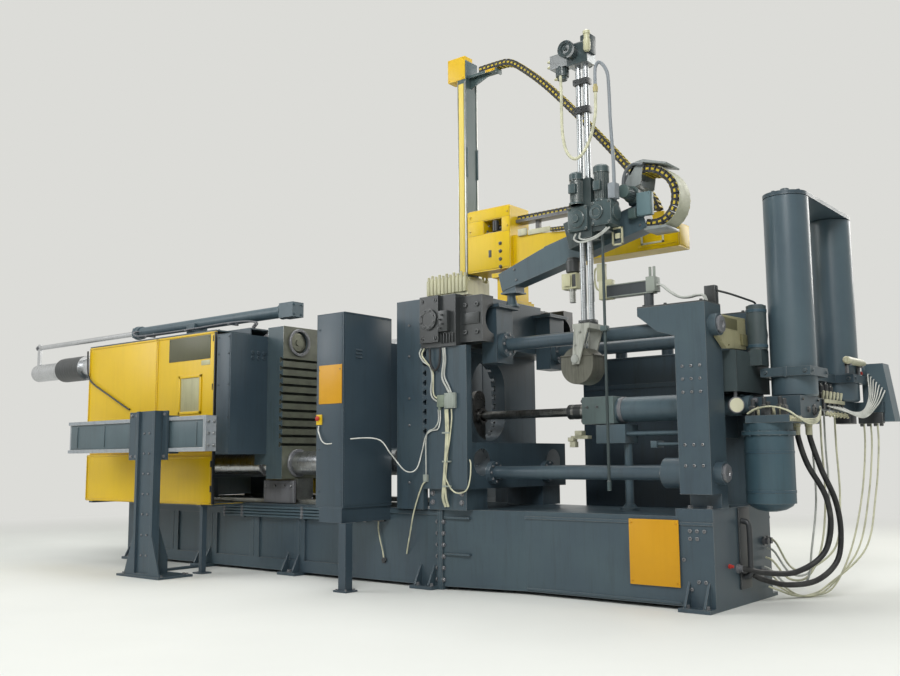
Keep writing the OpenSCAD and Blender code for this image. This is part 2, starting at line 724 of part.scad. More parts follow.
// Height of the hanging chain at a point that stands z over its lower end, as drawn
chain_fall = 2480;
function hang(z) = chain_end_z + z * (chain_shelf_z - chain_end_z) / chain_fall;
// Drop chain that hangs from the column's bracket to the stand on the arm
module drop_chain() color(block_black) {
    z = chain_shelf_z + chain_h / 2 + seat;
    cable_chain(spray_y, [[0, z], [chain_shelf_x + 20, z], [520, z - 22], [720, hang(2370)],
        [1100, hang(2030)], [1560, hang(1530)], [1980, hang(1040)], [2280, hang(670)], [2520, hang(340)],
        [2640, hang(160)], [chain_end_x - 5, chain_end_z + 20]]);
}

module spray_column() {
    x0 = spray_x - spray_w / 2;
    x1 = spray_x + spray_w / 2;
    color("#3a3d3c") {
        span([x0, spray_y - spray_d / 2, arm_z0 + 20], [x1, spray_y + spray_d / 2, spray_top - 60]);
        // bracket of the drop chain
        span([x1, spray_y - 70, chain_shelf_z - 40], [chain_shelf_x, spray_y + 70, chain_shelf_z]);
    }
    color(guard_yellow) span([x0 - 165, spray_y - spray_d / 2, spray_top - 330],
        [x1 - 20, spray_y + 40, spray_top]);
}

module spray_head() color(cream) {
    span([-820, spray_y - 250, 3840], [-90, spray_y + 250, 4040]);
    span([-360, spray_y - 150, 4040], [-130, spray_y + 150, arm_z0 + 20]);
}

girder_x0 = fixed_t + 150;
girder_z0 = 3700;
girder_y = -430;
girder_w = 220;
module girder_frame() {
    translate([girder_x0, girder_y, girder_z0]) rotate([0, -girder_tilt, 0]) children();
}
module ladler_girder() color(steel_blue) girder_frame() {
    side_plate(-girder_w / 2, girder_w, [[0, 0], [girder_l, 0], [girder_l, girder_h], [700, girder_h],
        [0, girder_h - 70]]);
    span([700, -40, girder_h], [girder_l - 20, 40, girder_h + 40]);
    // travel drive at the outer end
    span([girder_l - 150, -100, girder_h + 40], [girder_l - 10, 100, girder_h + 240]);
    rod_y(girder_l - 80, -280, -100, girder_h + 150, 150);
}

module girder_posts() color(steel_blue) {
    rod_z(girder_x0 + 70, girder_y, block_top + 40, girder_z0 - 20, 110);
    span([girder_x0 - 20, girder_y - 110, girder_z0 - 40], [girder_x0 + 220, girder_y + 110, girder_z0 - 20]);
    // wedge between the post head and the sloping girder
    side_plate(girder_y - 100, 200, [[girder_x0, girder_z0 - 20], [girder_x0 + 200, girder_z0 - 20],
        [girder_x0 + 200, girder_z0 + 200 * tan(girder_tilt) - seat], [girder_x0, girder_z0 - seat]]);
}

// Post and arm on the column's corbel that carry the ladler's cables
module cable_arm() color(block_black) {
    rod_z(column_x - 360, -630, column_top, column_top + 180, 110);
    span([column_x - 870, -680, column_top + 180], [column_x - 290, -580, column_top + 320]);
}

ladler_x = 2310;
ladler_y = -870;
guide_gap = 100;
carriage_low = 4090;
carriage_high = 4910;
module ladler_carriage() color(block_black) {
    difference() {
        union() {
            span([ladler_x - 130, ladler_y - 110, carriage_low], [ladler_x + 140, ladler_y + 110, carriage_high - 130]);
            span([ladler_x + 140, ladler_y - 90, carriage_low + 60], [ladler_x + 310, ladler_y + 110, carriage_low + 330]);
            rod_z(ladler_x + 222, ladler_y, carriage_low + 330, carriage_high, 170);
        }
        for (s = [-1, 1]) rod_z(ladler_x + s * guide_gap / 2, ladler_y, carriage_low - 1, carriage_high + 1,
            guide_d + 0.8);
    }
    // slide plate on the girder's side, hooked over its rail
    girder_frame() {
        span([1200, ladler_y - girder_y + 110, 60], [1750, -girder_w / 2 - seat, girder_h + 40 + seat]);
        span([1200, ladler_y - girder_y + 110, girder_h + 40 + seat], [1750, girder_w / 2, girder_h + 90]);
    }
    // level probe hanging in front of the machine
    rod_z(ladler_x + 250, ladler_y - 60, 1250, carriage_low + 60, 34);
}

fork_top = 3100;
fork_low = 2640;
tilt_x = 2228;
tilt_z = 2700;
fork_gap = 300;
module ladler_column() {
    color(chrome) for (s = [-1, 1]) rod_z(ladler_x + s * guide_gap / 2, ladler_y, fork_top, ladler_top, guide_d);
    // top drive
    color(block_black) {
        span([ladler_x - 150, ladler_y - 90, ladler_top - 260], [ladler_x + 130, ladler_y + 90, ladler_top]);
        span([ladler_x - 400, ladler_y - 70, ladler_top - 230], [ladler_x - 150, ladler_y + 70, ladler_top - 60]);
        rod_y(ladler_x - 60, ladler_y - 190, ladler_y - 90, ladler_top - 120, 150);
    }
}

trunnion_d = 40;
module ladle_fork() color(cream) difference() {
    union() {
        span([ladler_x - 110, ladler_y - fork_gap / 2 - 20, fork_top - 60],
            [ladler_x + 110, ladler_y + fork_gap / 2 + 20, fork_top]);
        for (y = [-fork_gap / 2 - 20, fork_gap / 2]) side_plate(ladler_y + y, 20, [[tilt_x - 45, fork_low],
            [tilt_x + 45, fork_low], [ladler_x + 90, fork_top - 60], [ladler_x - 90, fork_top - 60]]);
    }
    rod_y(tilt_x, ladler_y - fork_gap / 2 - 21, ladler_y + fork_gap / 2 + 21, tilt_z, trunnion_d + 0.1);
}

// Trough-shaped ladle on two trunnions
ladle_w = 270;
ladle_r = 212;
ladle_wall = 26;
ladle_rim = 2740;
module trough(r, w, rim) {
    span([tilt_x - r, ladler_y - w / 2, ladle_rim - 110], [tilt_x + r, ladler_y + w / 2, rim]);
    rod_y(tilt_x, ladler_y - w / 2, ladler_y + w / 2, ladle_rim - 110, 2 * r);
}
module ladle() color(block_black) {
    difference() {
        trough(ladle_r, ladle_w, ladle_rim);
        trough(ladle_r - ladle_wall, ladle_w - 2 * ladle_wall, ladle_rim + 1);
    }
    for (y = [ladler_y - fork_gap / 2 - 20, ladler_y + ladle_w / 2])
        rod_y(tilt_x, y, y + 35, tilt_z, trunnion_d);
}

module moving_platen() color(steel_blue) difference() {
    union() {
        span([moving_back_x, -half_w, moving_low], [moving_x, half_w, moving_high]);
        both_sides() for (y = [-half_w, -420])
            span([moving_back_x - 260, y, moving_low + 200], [moving_back_x, y + 420, moving_high - 200]);
    }
    tie_bores(moving_back_x - 261, moving_x + 1);
    translate([moving_x, 0, 0]) t_slots(half_w + 1);
}

module platen_shoes() color(bare_steel) both_sides() {
    span([moving_back_x - 300, -way_y - 150, bed_top + way_h + seat],
        [moving_x + 60, -way_y + 150, moving_low]);
}

cover_y = 1770;
module platen_cover() color(steel_blue) {
    span([moving_back_x - 310, -cover_y, 1680], [moving_back_x, -half_w, 3390]);
}
module platen_cover_front() platen_cover();
module platen_cover_back() mirror([0, 1, 0]) platen_cover();

clamp_bed();
shot_bed();
bed_ways();
fixed_platen();
die_space_frame();
lock_front();
lock_back();
fixed_tie_bars();
rear_platen();
guard_front();
guard_back();
guard_roof();
guard_rear();
shield_front();
shield_back();
shield_stands();
oil_pipes();
extractor_post();
puller_cylinder();
c_frame_column();
c_frame_bars();
c_frame_nuts();
bar_blocks();
injection_cylinder();
shot_sleeve();
accumulator_near();
accumulator_far();
accumulator_frame();
oil_vessel();
valve_block();
terminal_box();
hydraulic_tank();
spray_pedestal();
ladler_girder();
girder_posts();
cable_arm();
moving_platen();
platen_shoes();
platen_cover_front();
platen_cover_back();
drawn_tie_bar();
puller_rod();
plunger();
extractor_beam();
spray_arm();
arm_chain();
spray_column();
drop_chain();
spray_head();
ladler_carriage();
ladler_column();
ladle_fork();
ladle();
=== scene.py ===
import math
from itertools import product

import bmesh
import bpy
from mathutils import Matrix, Vector


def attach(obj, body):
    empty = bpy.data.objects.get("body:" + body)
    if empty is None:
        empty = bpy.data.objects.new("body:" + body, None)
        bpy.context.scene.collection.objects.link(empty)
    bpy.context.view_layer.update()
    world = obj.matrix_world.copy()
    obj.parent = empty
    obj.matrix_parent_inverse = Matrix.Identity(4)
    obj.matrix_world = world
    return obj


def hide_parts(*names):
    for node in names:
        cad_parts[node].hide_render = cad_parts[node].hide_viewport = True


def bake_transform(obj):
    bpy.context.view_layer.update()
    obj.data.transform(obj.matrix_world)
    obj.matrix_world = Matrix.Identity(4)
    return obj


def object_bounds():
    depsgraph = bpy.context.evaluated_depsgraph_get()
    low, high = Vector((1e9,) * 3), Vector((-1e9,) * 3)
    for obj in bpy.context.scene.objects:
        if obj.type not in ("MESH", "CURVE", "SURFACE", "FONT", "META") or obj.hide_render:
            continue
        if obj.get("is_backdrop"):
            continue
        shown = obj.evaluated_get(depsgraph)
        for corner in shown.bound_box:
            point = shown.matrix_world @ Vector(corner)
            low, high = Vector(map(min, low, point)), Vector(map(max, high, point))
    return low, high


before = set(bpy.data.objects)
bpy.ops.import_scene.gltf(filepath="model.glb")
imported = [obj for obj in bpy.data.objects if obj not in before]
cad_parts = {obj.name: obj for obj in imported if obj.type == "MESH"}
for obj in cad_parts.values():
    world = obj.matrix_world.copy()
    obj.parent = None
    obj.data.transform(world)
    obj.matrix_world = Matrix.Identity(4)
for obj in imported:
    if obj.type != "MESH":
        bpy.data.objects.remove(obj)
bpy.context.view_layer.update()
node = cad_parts

# ---------------------------------------------------------------- camera
# At eye height over the floor, off the injection end of the operator side, looking slightly up at
# the machine through a moderate wide-angle lens.
CAMERA_AT = (8.018, -10.419, 1.59)
CAMERA_YAW, CAMERA_PITCH, CAMERA_ROLL = 39.045, 7.093, -0.445
lens = bpy.data.cameras.new("camera")
lens.sensor_width, lens.lens = 36, 38.9
lens.clip_start, lens.clip_end = 0.1, 200
camera = bpy.data.objects.new("camera", lens)
bpy.context.scene.collection.objects.link(camera)
yaw, pitch, roll = map(math.radians, (CAMERA_YAW, CAMERA_PITCH, CAMERA_ROLL))
ahead = Vector((-math.sin(yaw) * math.cos(pitch), math.cos(yaw) * math.cos(pitch), math.sin(pitch)))
camera.rotation_mode = "QUATERNION"
camera.rotation_quaternion = ahead.to_track_quat("-Z", "Y")
camera.rotation_quaternion = camera.rotation_quaternion @ Matrix.Rotation(roll, 4, "Z").to_quaternion()
camera.location = CAMERA_AT
bpy.context.scene.camera = camera

# ---------------------------------------------------------------- cables and hoses
# Grey control cables, cream oil hoses and black rubber pressure hoses. Each follows a smooth
# sagging path through given points between its fittings, and moves with the body that carries it.


def hex_colour(code):
    part = [int(code[i : i + 2], 16) / 255 for i in (0, 2, 4)]
    return tuple(c / 12.92 if c <= 0.04045 else ((c + 0.055) / 1.055) ** 2.4 for c in part) + (1.0,)


def add(tree, kind, inputs=None, **settings):
    made = tree.nodes.new(kind)
    for key, value in settings.items():
        setattr(made, key, value)
    for key, value in (inputs or {}).items():
        socket = made.inputs[key]
        if isinstance(value, bpy.types.NodeSocket):
            tree.links.new(value, socket)
        else:
            socket.default_value = value
    return made


def mix(tree, factor, a, b):
    """Colour a where the factor is 0, b where it is 1"""
    return add(tree, "ShaderNodeMix", {0: factor, 6: a, 7: b}, data_type="RGBA").outputs[2]


def ramp(tree, value, stops):
    made = add(tree, "ShaderNodeValToRGB", {"Fac": value})
    table = made.color_ramp.elements
    table[0].position, table[0].color = stops[0]
    table[1].position, table[1].color = stops[-1]
    for position, colour in stops[1:-1]:
        table.new(position).color = colour
    return made.outputs["Color"]


def grey(v):
    return (v, v, v, 1.0)


def new_group(name, inputs, outputs):
    tree = bpy.data.node_groups.new(name, "ShaderNodeTree")
    for label, kind, value in inputs:
        socket = tree.interface.new_socket(label, in_out="INPUT", socket_type="NodeSocket" + kind)
        socket.default_value = value
    for label, kind in outputs:
        tree.interface.new_socket(label, in_out="OUTPUT", socket_type="NodeSocket" + kind)
    return tree, tree.nodes.new("NodeGroupInput"), tree.nodes.new("NodeGroupOutput")


def material(name, metallic=0.0, roughness=0.5, **sockets):
    mat = bpy.data.materials.new(name)
    mat.use_nodes = True
    shader = mat.node_tree.nodes["Principled BSDF"]
    shader.inputs["Metallic"].default_value = metallic
    shader.inputs["Roughness"].default_value = roughness
    for key, value in sockets.items():
        shader.inputs[key.replace("_", " ")].default_value = value
    return mat, mat.node_tree, shader


def grouped(tree, group, **given):
    """A group's node with the given values: a text is a colour's hex code"""
    made = add(tree, "ShaderNodeGroup", node_tree=group)
    for key, value in given.items():
        value = hex_colour(value) if isinstance(value, str) else value
        made.inputs[key.replace("_", " ")].default_value = value
    return made


def wear_on(tree, shader, marks, strength, distance):
    """Colour, roughness and relief of the shader come from the node group marks"""
    tree.links.new(marks.outputs["Colour"], shader.inputs["Base Color"])
    tree.links.new(marks.outputs["Roughness"], shader.inputs["Roughness"])
    relief = {"Height": marks.outputs["Height"], "Strength": strength, "Distance": distance}
    tree.links.new(add(tree, "ShaderNodeBump", relief).outputs["Normal"], shader.inputs["Normal"])


# Dust and handling marks on rubber and plastic sheathing
sheath_marks, given, out = new_group(
    "sheath_marks",
    [("Clean", "Color", grey(0.1)), ("Dusty", "Color", grey(0.3)), ("Scale", "Float", 8.0)],
    [("Colour", "Color"), ("Roughness", "Float"), ("Height", "Float")],
)
place = add(sheath_marks, "ShaderNodeTexCoord").outputs["Object"]
patches = add(
    sheath_marks, "ShaderNodeTexNoise", {"Vector": place, "Scale": given.outputs["Scale"], "Detail": 6.0},
)
specks = add(sheath_marks, "ShaderNodeTexNoise", {"Vector": place, "Scale": 240.0, "Detail": 3.0})
dust = ramp(sheath_marks, patches.outputs["Fac"], [(0.45, grey(0)), (0.75, grey(1))])
sheath_marks.links.new(
    mix(sheath_marks, dust, given.outputs["Clean"], given.outputs["Dusty"]), out.inputs["Colour"],
)
gloss = add(
    sheath_marks, "ShaderNodeMapRange", {"Value": patches.outputs["Fac"], "To Min": 0.35, "To Max": 0.7},
)
sheath_marks.links.new(gloss.outputs["Result"], out.inputs["Roughness"])
sheath_marks.links.new(specks.outputs["Fac"], out.inputs["Height"])


def sheathing(name, clean, dusty, scale=8.0):
    mat, tree, shader = material(name)
    marks = grouped(tree, sheath_marks, Clean=clean, Dusty=dusty, Scale=scale)
    wear_on(tree, shader, marks, strength=0.15, distance=0.001)
    return mat


black_rubber = sheathing("black_rubber", "17181a", "3c3d3b")
grey_sheath = sheathing("grey_sheath", "b3b6b0", "8e908a")
cream_hose = sheathing("cream_hose", "c9c8ac", "9a9a84")
white_sheath = sheathing("white_sheath", "d5d6d0", "a9aaa2")


def curve_points(anchors, per_span=10):
    """Smooth path through the anchor points"""
    a = [Vector(p) for p in anchors]
    a = [a[0] * 2 - a[1]] + a + [a[-1] * 2 - a[-2]]
    path = []
    for i in range(1, len(a) - 2):
        for k in range(per_span):
            t = k / per_span
            path.append(
                0.5
                * (
                    2 * a[i]
                    + (a[i + 1] - a[i - 1]) * t
                    + (2 * a[i - 1] - 5 * a[i] + 4 * a[i + 1] - a[i + 2]) * t * t
                    + (3 * a[i] - a[i - 1] - 3 * a[i + 1] + a[i + 2]) * t**3
                )
            )
    return path + [a[-2]]


def run_length(path):
    return sum((q - p).length for p, q in zip(path, path[1:]))


def cable(name, path, diameter, sheath, body):
    line = bpy.data.curves.new(name, "CURVE")
    line.dimensions, line.bevel_depth, line.bevel_resolution = "3D", diameter / 2, 3
    line.use_fill_caps = True
    run = line.splines.new("POLY")
    run.points.add(len(path) - 1)
    for point, spot in zip(run.points, path):
        point.co = (*spot, 1)
    piece = bpy.data.objects.new(name, line)
    bpy.context.scene.collection.objects.link(piece)
    line.materials.append(sheath)
    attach(piece, body)


# hoses that fall from the valve beam and its end plate to the bed's end
for i, (x, y) in enumerate(((4.12, 1.05), (4.16, 1.25), (4.14, 1.45), (4.2, 1.65))):
    end = Vector((3.7, 0.5 + 0.05 * i, 0.36 + 0.1 * i))
    path = curve_points([
        (x, y, 2.1), (x, y, 1.7), (x + 0.02, y - 0.03, 1.1), (x, y - 0.2, 0.55),
        (4.06, 0.82 + 0.03 * i, 0.2 + 0.04 * i), (3.92, 0.6 + 0.04 * i, 0.17 + 0.06 * i),
        end + Vector((0.08, 0.01, -0.04)), end,
    ])
    cable(f"valve_hose_{i + 1}", path, 0.024, cream_hose if i % 2 else grey_sheath, "frame")
for i in range(3):
    x = 4.36 + 0.08 * i
    end = Vector((3.7, 0.6 + 0.05 * i, 0.13 + 0.06 * i))
    path = curve_points([
        (x, 2.25, 2.1), (x, 2.25, 1.7), (x - 0.03, 2.1, 1.1), (x - 0.08, 1.75, 0.5),
        (4.2 - 0.04 * i, 1.3, 0.1), (4.08 - 0.03 * i, 1.0, 0.02), (3.92, 0.78 + 0.04 * i, 0.03),
        (3.79, 0.66 + 0.04 * i, 0.09 + 0.03 * i), end,
    ])
    cable(f"floor_hose_{i + 1}", path, 0.022, cream_hose, "frame")
# black pressure hoses between the manifold and the bed's pump lines
hose_runs = (
    [
        (4.18, 0.4, 1.93), (4.19, 0.41, 1.78), (4.25, 0.48, 1.5), (4.37, 0.66, 1.15), (4.38, 0.74, 0.8),
        (4.28, 0.72, 0.5), (4.05, 0.5, 0.32), (3.86, 0.1, 0.34), (3.76, -0.14, 0.39), (3.7, -0.2, 0.4),
    ],
    [
        (4.27, 0.52, 1.93), (4.28, 0.53, 1.78), (4.35, 0.62, 1.45), (4.42, 0.82, 1.1), (4.42, 0.95, 0.75),
        (4.36, 0.95, 0.42), (4.2, 0.72, 0.22), (3.96, 0.48, 0.18), (3.78, 0.24, 0.25), (3.7, 0.18, 0.3),
    ],
)
for i, run in enumerate(hose_runs):
    cable(f"pressure_hose_{i + 1}", curve_points(run), 0.062, black_rubber, "frame")
# cables looped from the terminal box to the valves on the beam
for i in range(7):
    out_z = 2.6 - 0.035 * i
    path = curve_points([
        (4.44 + 0.03 * i, 2.29, out_z), (4.45 + 0.03 * i, 2.22, out_z - 0.03),
        (4.5 + 0.015 * i, 2.05, 2.32 - 0.02 * i), (4.48, 1.88, 2.14 - 0.015 * i),
        (4.4, 1.74 - 0.05 * i, 2.11), (4.29, 1.66 - 0.09 * i, 2.17),
    ])
    cable(f"terminal_cable_{i + 1}", path, 0.016, white_sheath, "frame")
# cables slung in front of the manifold
for i in range(4):
    d = 0.016 * i
    path = curve_points([
        (3.88, -0.25 + d, 2.05), (3.98, -0.25 + d, 2.1), (4.14, -0.25 + d, 2.12), (4.29, -0.22 + d, 2.08),
        (4.37, -0.08 + d, 2.0), (4.4, 0.15, 1.94 + d), (4.4, 0.42, 1.96 + d), (4.37, 0.64, 2.05 + d),
        (4.305, 0.8 + d, 2.15),
    ])
    cable(f"manifold_cable_{i + 1}", path, 0.016, cream_hose, "frame")
# stop button's cable, slung across to the junction box on the fixed platen
path = curve_points([
    (-1.05, -1.888, 2.02), (-1.04, -1.895, 1.93), (-0.9, -1.9, 1.79), (-0.62, -1.74, 1.85),
    (-0.4, -1.48, 1.84), (-0.3, -1.36, 1.66), (-0.16, -1.25, 1.45), (-0.05, -1.16, 1.47),
    (0.02, -1.125, 1.7), (0.07, -1.12, 1.87), (0.16, -1.12, 1.94), (0.27, -1.12, 1.96), (0.31, -1.12, 2.07),
    (0.31, -1.12, 2.2),
])
cable("operator_cable", path, 0.016, white_sheath, "frame")
# bundles down the fixed platen's edge, through its junction box
platen_runs = (
    ([
        (0.36, -1.12, 2.965), (0.37, -1.12, 2.8), (0.345, -1.12, 2.6), (0.42, -1.12, 2.46),
        (0.46, -1.12, 2.4),
    ], 0.028, grey_sheath),
    ([
        (0.39, -1.12, 2.965), (0.4, -1.12, 2.8), (0.38, -1.12, 2.62), (0.45, -1.12, 2.48), (0.49, -1.12, 2.4),
    ], 0.022, grey_sheath),
    ([
        (0.02, -1.12, 3.0), (-0.02, -1.125, 2.92), (0.04, -1.128, 2.82), (0.15, -1.12, 2.74),
        (0.18, -1.12, 2.6), (0.16, -1.12, 2.44), (0.19, -1.12, 2.35), (0.27, -1.12, 2.3),
    ], 0.022, grey_sheath),
    ([
        (0.06, -1.12, 2.99), (0.02, -1.125, 2.9), (0.1, -1.128, 2.8), (0.19, -1.12, 2.7), (0.2, -1.12, 2.54),
        (0.2, -1.12, 2.42), (0.23, -1.12, 2.36), (0.28, -1.12, 2.34),
    ], 0.02, cream_hose),
    ([
        (0.17, -1.15, 2.965), (0.172, -1.15, 2.86), (0.19, -1.15, 2.75), (0.255, -1.15, 2.69),
        (0.32, -1.15, 2.75), (0.338, -1.15, 2.86), (0.34, -1.15, 2.965),
    ], 0.03, black_rubber),
    ([
        (0.4, -1.12, 2.2), (0.41, -1.12, 1.9), (0.39, -1.12, 1.6), (0.36, -1.12, 1.3), (0.33, -1.1, 1.12),
        (0.34, -1.06, 1.01),
    ], 0.036, cream_hose),
    ([
        (0.43, -1.128, 2.2), (0.44, -1.128, 1.95), (0.41, -1.12, 1.6), (0.38, -1.12, 1.3),
        (0.37, -1.09, 1.12), (0.38, -1.057, 1.01),
    ], 0.03, cream_hose),
    ([
        (0.49, -1.12, 2.2), (0.49, -1.12, 2.05), (0.45, -1.128, 1.76), (0.41, -1.15, 1.55),
        (0.41, -1.15, 1.38), (0.5, -1.15, 1.23), (0.61, -1.15, 1.18), (0.72, -1.128, 1.22),
        (0.77, -1.12, 1.36), (0.75, -1.08, 1.52), (0.72, -1.06, 1.58),
    ], 0.018, cream_hose),
    ([
        (0.28, -1.12, 2.2), (0.28, -1.12, 2.06), (0.22, -1.125, 1.97), (0.12, -1.125, 1.93),
        (0.08, -1.125, 1.82), (0.08, -1.125, 1.5), (0.08, -1.125, 1.4),
    ], 0.018, grey_sheath),
    ([
        (0.06, -1.12, 1.31), (0.02, -1.128, 1.27), (-0.06, -1.128, 1.1), (-0.14, -1.12, 0.9),
        (-0.22, -1.08, 0.7), (-0.31, -1.03, 0.5), (-0.36, -0.995, 0.4),
    ], 0.018, cream_hose),
)
for i, (run, thick, sheath) in enumerate(platen_runs):
    cable(f"platen_cable_{i + 1}", curve_points(run), thick, sheath, "frame")
# signal cables from the ladler's cable arm into the column's top plate, and one down the bed
for i in range(2):
    d = 0.03 * i
    path = curve_points([
        (3.055, -0.645 + d, 3.5), (3.12, -0.645 + d, 3.495), (3.22, -0.64 + d, 3.41),
        (3.32, -0.63 + d, 3.345), (3.42, -0.62 + d, 3.33), (3.52, -0.6 + d, 3.345),
        (3.585, -0.58 + d, 3.335), (3.61, -0.57 + d, 3.265),
    ])
    cable(f"arm_cable_{i + 1}", path, 0.028, grey_sheath, "frame")
path = curve_points([
    (-0.84, -1.005, 0.79), (-0.84, -1.01, 0.7), (-0.81, -1.01, 0.56), (-0.77, -1.005, 0.42),
    (-0.756, -0.995, 0.315),
])
cable("bed_cable", path, 0.018, cream_hose, "frame")

# ---------------------------------------------------------------- machine beds
# The two floor-standing beds are welded from thick plate, ribbed inside, bolted together at a
# joint flange and sprayed satin blue-grey. Feet, gussets and anchor bolts are welded on outside.


# Sprayed paint: broad fading, fine orange peel, oily runs, and bare metal along worn edges
worn_paint, given, out = new_group(
    "worn_paint",
    [
        ("Paint", "Color", grey(0.2)),
        ("Faded", "Color", grey(0.3)),
        ("Bare", "Color", grey(0.35)),
        ("Grime", "Color", grey(0.05)),
        ("Edge width", "Float", 0.006),
        ("Wear", "Float", 0.5),
        ("Grease", "Float", 0.4),
    ],
    [("Colour", "Color"), ("Roughness", "Float"), ("Height", "Float"), ("Chips", "Float")],
)
place = add(worn_paint, "ShaderNodeTexCoord").outputs["Object"]
clouds = add(
    worn_paint, "ShaderNodeTexNoise", {"Vector": place, "Scale": 1.1, "Detail": 8.0, "Roughness": 0.6},
)
peel = add(worn_paint, "ShaderNodeTexNoise", {"Vector": place, "Scale": 95.0, "Detail": 2.0})
tall = add(worn_paint, "ShaderNodeMapping", {"Vector": place, "Scale": (9.0, 9.0, 0.8)})
runs = add(
    worn_paint, "ShaderNodeTexNoise",
    {"Vector": tall.outputs["Vector"], "Scale": 1.6, "Detail": 7.0, "Roughness": 0.7},
)
rubbed = add(
    worn_paint, "ShaderNodeTexNoise", {"Vector": place, "Scale": 34.0, "Detail": 6.0, "Roughness": 0.75},
)
faded = ramp(worn_paint, clouds.outputs["Fac"], [(0.35, grey(0)), (0.7, grey(1))])
first = mix(worn_paint, faded, given.outputs["Paint"], given.outputs["Faded"])
streaks = ramp(worn_paint, runs.outputs["Fac"], [(0.5, grey(0)), (0.8, grey(1))])
streaks = add(
    worn_paint, "ShaderNodeMath", {0: streaks, 1: given.outputs["Grease"]}, operation="MULTIPLY",
).outputs[0]
second = mix(worn_paint, streaks, first, given.outputs["Grime"])
rounded = add(worn_paint, "ShaderNodeBevel", {"Radius": given.outputs["Edge width"]}, samples=4)
flat = add(worn_paint, "ShaderNodeNewGeometry")
turn = add(
    worn_paint, "ShaderNodeVectorMath", {0: rounded.outputs["Normal"], 1: flat.outputs["Normal"]},
    operation="DOT_PRODUCT",
)
edge = add(
    worn_paint, "ShaderNodeMapRange",
    {"Value": turn.outputs["Value"], "From Min": 0.995, "From Max": 0.86, "To Min": 0.0, "To Max": 1.0},
)
broken = add(
    worn_paint, "ShaderNodeMath", {0: edge.outputs["Result"], 1: rubbed.outputs["Fac"]}, operation="MULTIPLY",
)
worn = add(
    worn_paint, "ShaderNodeMath", {0: broken.outputs[0], 1: given.outputs["Wear"]}, operation="MULTIPLY",
)
chips = ramp(worn_paint, worn.outputs[0], [(0.16, grey(0)), (0.3, grey(1))])
worn_paint.links.new(mix(worn_paint, chips, second, given.outputs["Bare"]), out.inputs["Colour"])
dull = add(
    worn_paint, "ShaderNodeMapRange",
    {"Value": clouds.outputs["Fac"], "From Min": 0.3, "From Max": 0.7, "To Min": 0.3, "To Max": 0.5},
)
oily = add(worn_paint, "ShaderNodeMix", {0: streaks, 2: dull.outputs["Result"], 3: 0.22})
worn_paint.links.new(oily.outputs[0], out.inputs["Roughness"])
worn_paint.links.new(peel.outputs["Fac"], out.inputs["Height"])
worn_paint.links.new(chips, out.inputs["Chips"])


def painted(
    name, paint, faded, bare="8b8d8c", grime="23241f", edge=0.006, wear=0.8, grease=0.35, peel=0.12, coat=0.08
):
    mat, tree, shader = material(name, Coat_Weight=coat, Coat_Roughness=0.25, Specular_IOR_Level=0.35)
    colours = dict(Paint=paint, Faded=faded, Bare=bare, Grime=grime)
    spray = grouped(tree, worn_paint, **colours, Edge_width=edge, Wear=wear, Grease=grease)
    tree.links.new(spray.outputs["Chips"], shader.inputs["Metallic"])
    wear_on(tree, shader, spray, strength=peel, distance=0.0015)
    return mat


def finish(mat, *names):
    """Puts the material on whole CAD nodes"""
    for name in names:
        node[name].data.materials.clear()
        node[name].data.materials.append(mat)


bed_blue = painted("bed_blue", "3a4852", "43535a")
finish(bed_blue, "clamp_bed", "shot_bed")


# Directions: towards the injection end and the clamping end, away from the operator and back, up
# and down
FORE, AFT, FAR, NEAR, UP, DOWN = (1, 0, 0), (-1, 0, 0), (0, 1, 0), (0, -1, 0), (0, 0, 1), (0, 0, -1)
SIDES = ((-1, "near"), (1, "far"))
# Axes that several pieces share: the tie bars, the puller above them and the shot cylinder
TIE_Y, TIE_LOW, TIE_HIGH, PULLER_Z, SHOT_Z = 0.8, 1.55, 3.3, 3.8, 2.16


def grid(xs, ys, zs):
    """Points at every crossing of the x, y and z values, each given as one number or as several"""
    return product(*(v if isinstance(v, tuple) else (v,) for v in (xs, ys, zs)))


def circle(centre, radius, plane, count, shift=0.0):
    """Points spread evenly round the centre in the plane xy, xz or yz"""
    for k in range(count):
        a = 2 * math.pi * (k + shift) / count
        step = dict(zip(plane, (radius * math.cos(a), radius * math.sin(a))))
        yield Vector(centre) + Vector(step.get(letter, 0.0) for letter in "xyz")


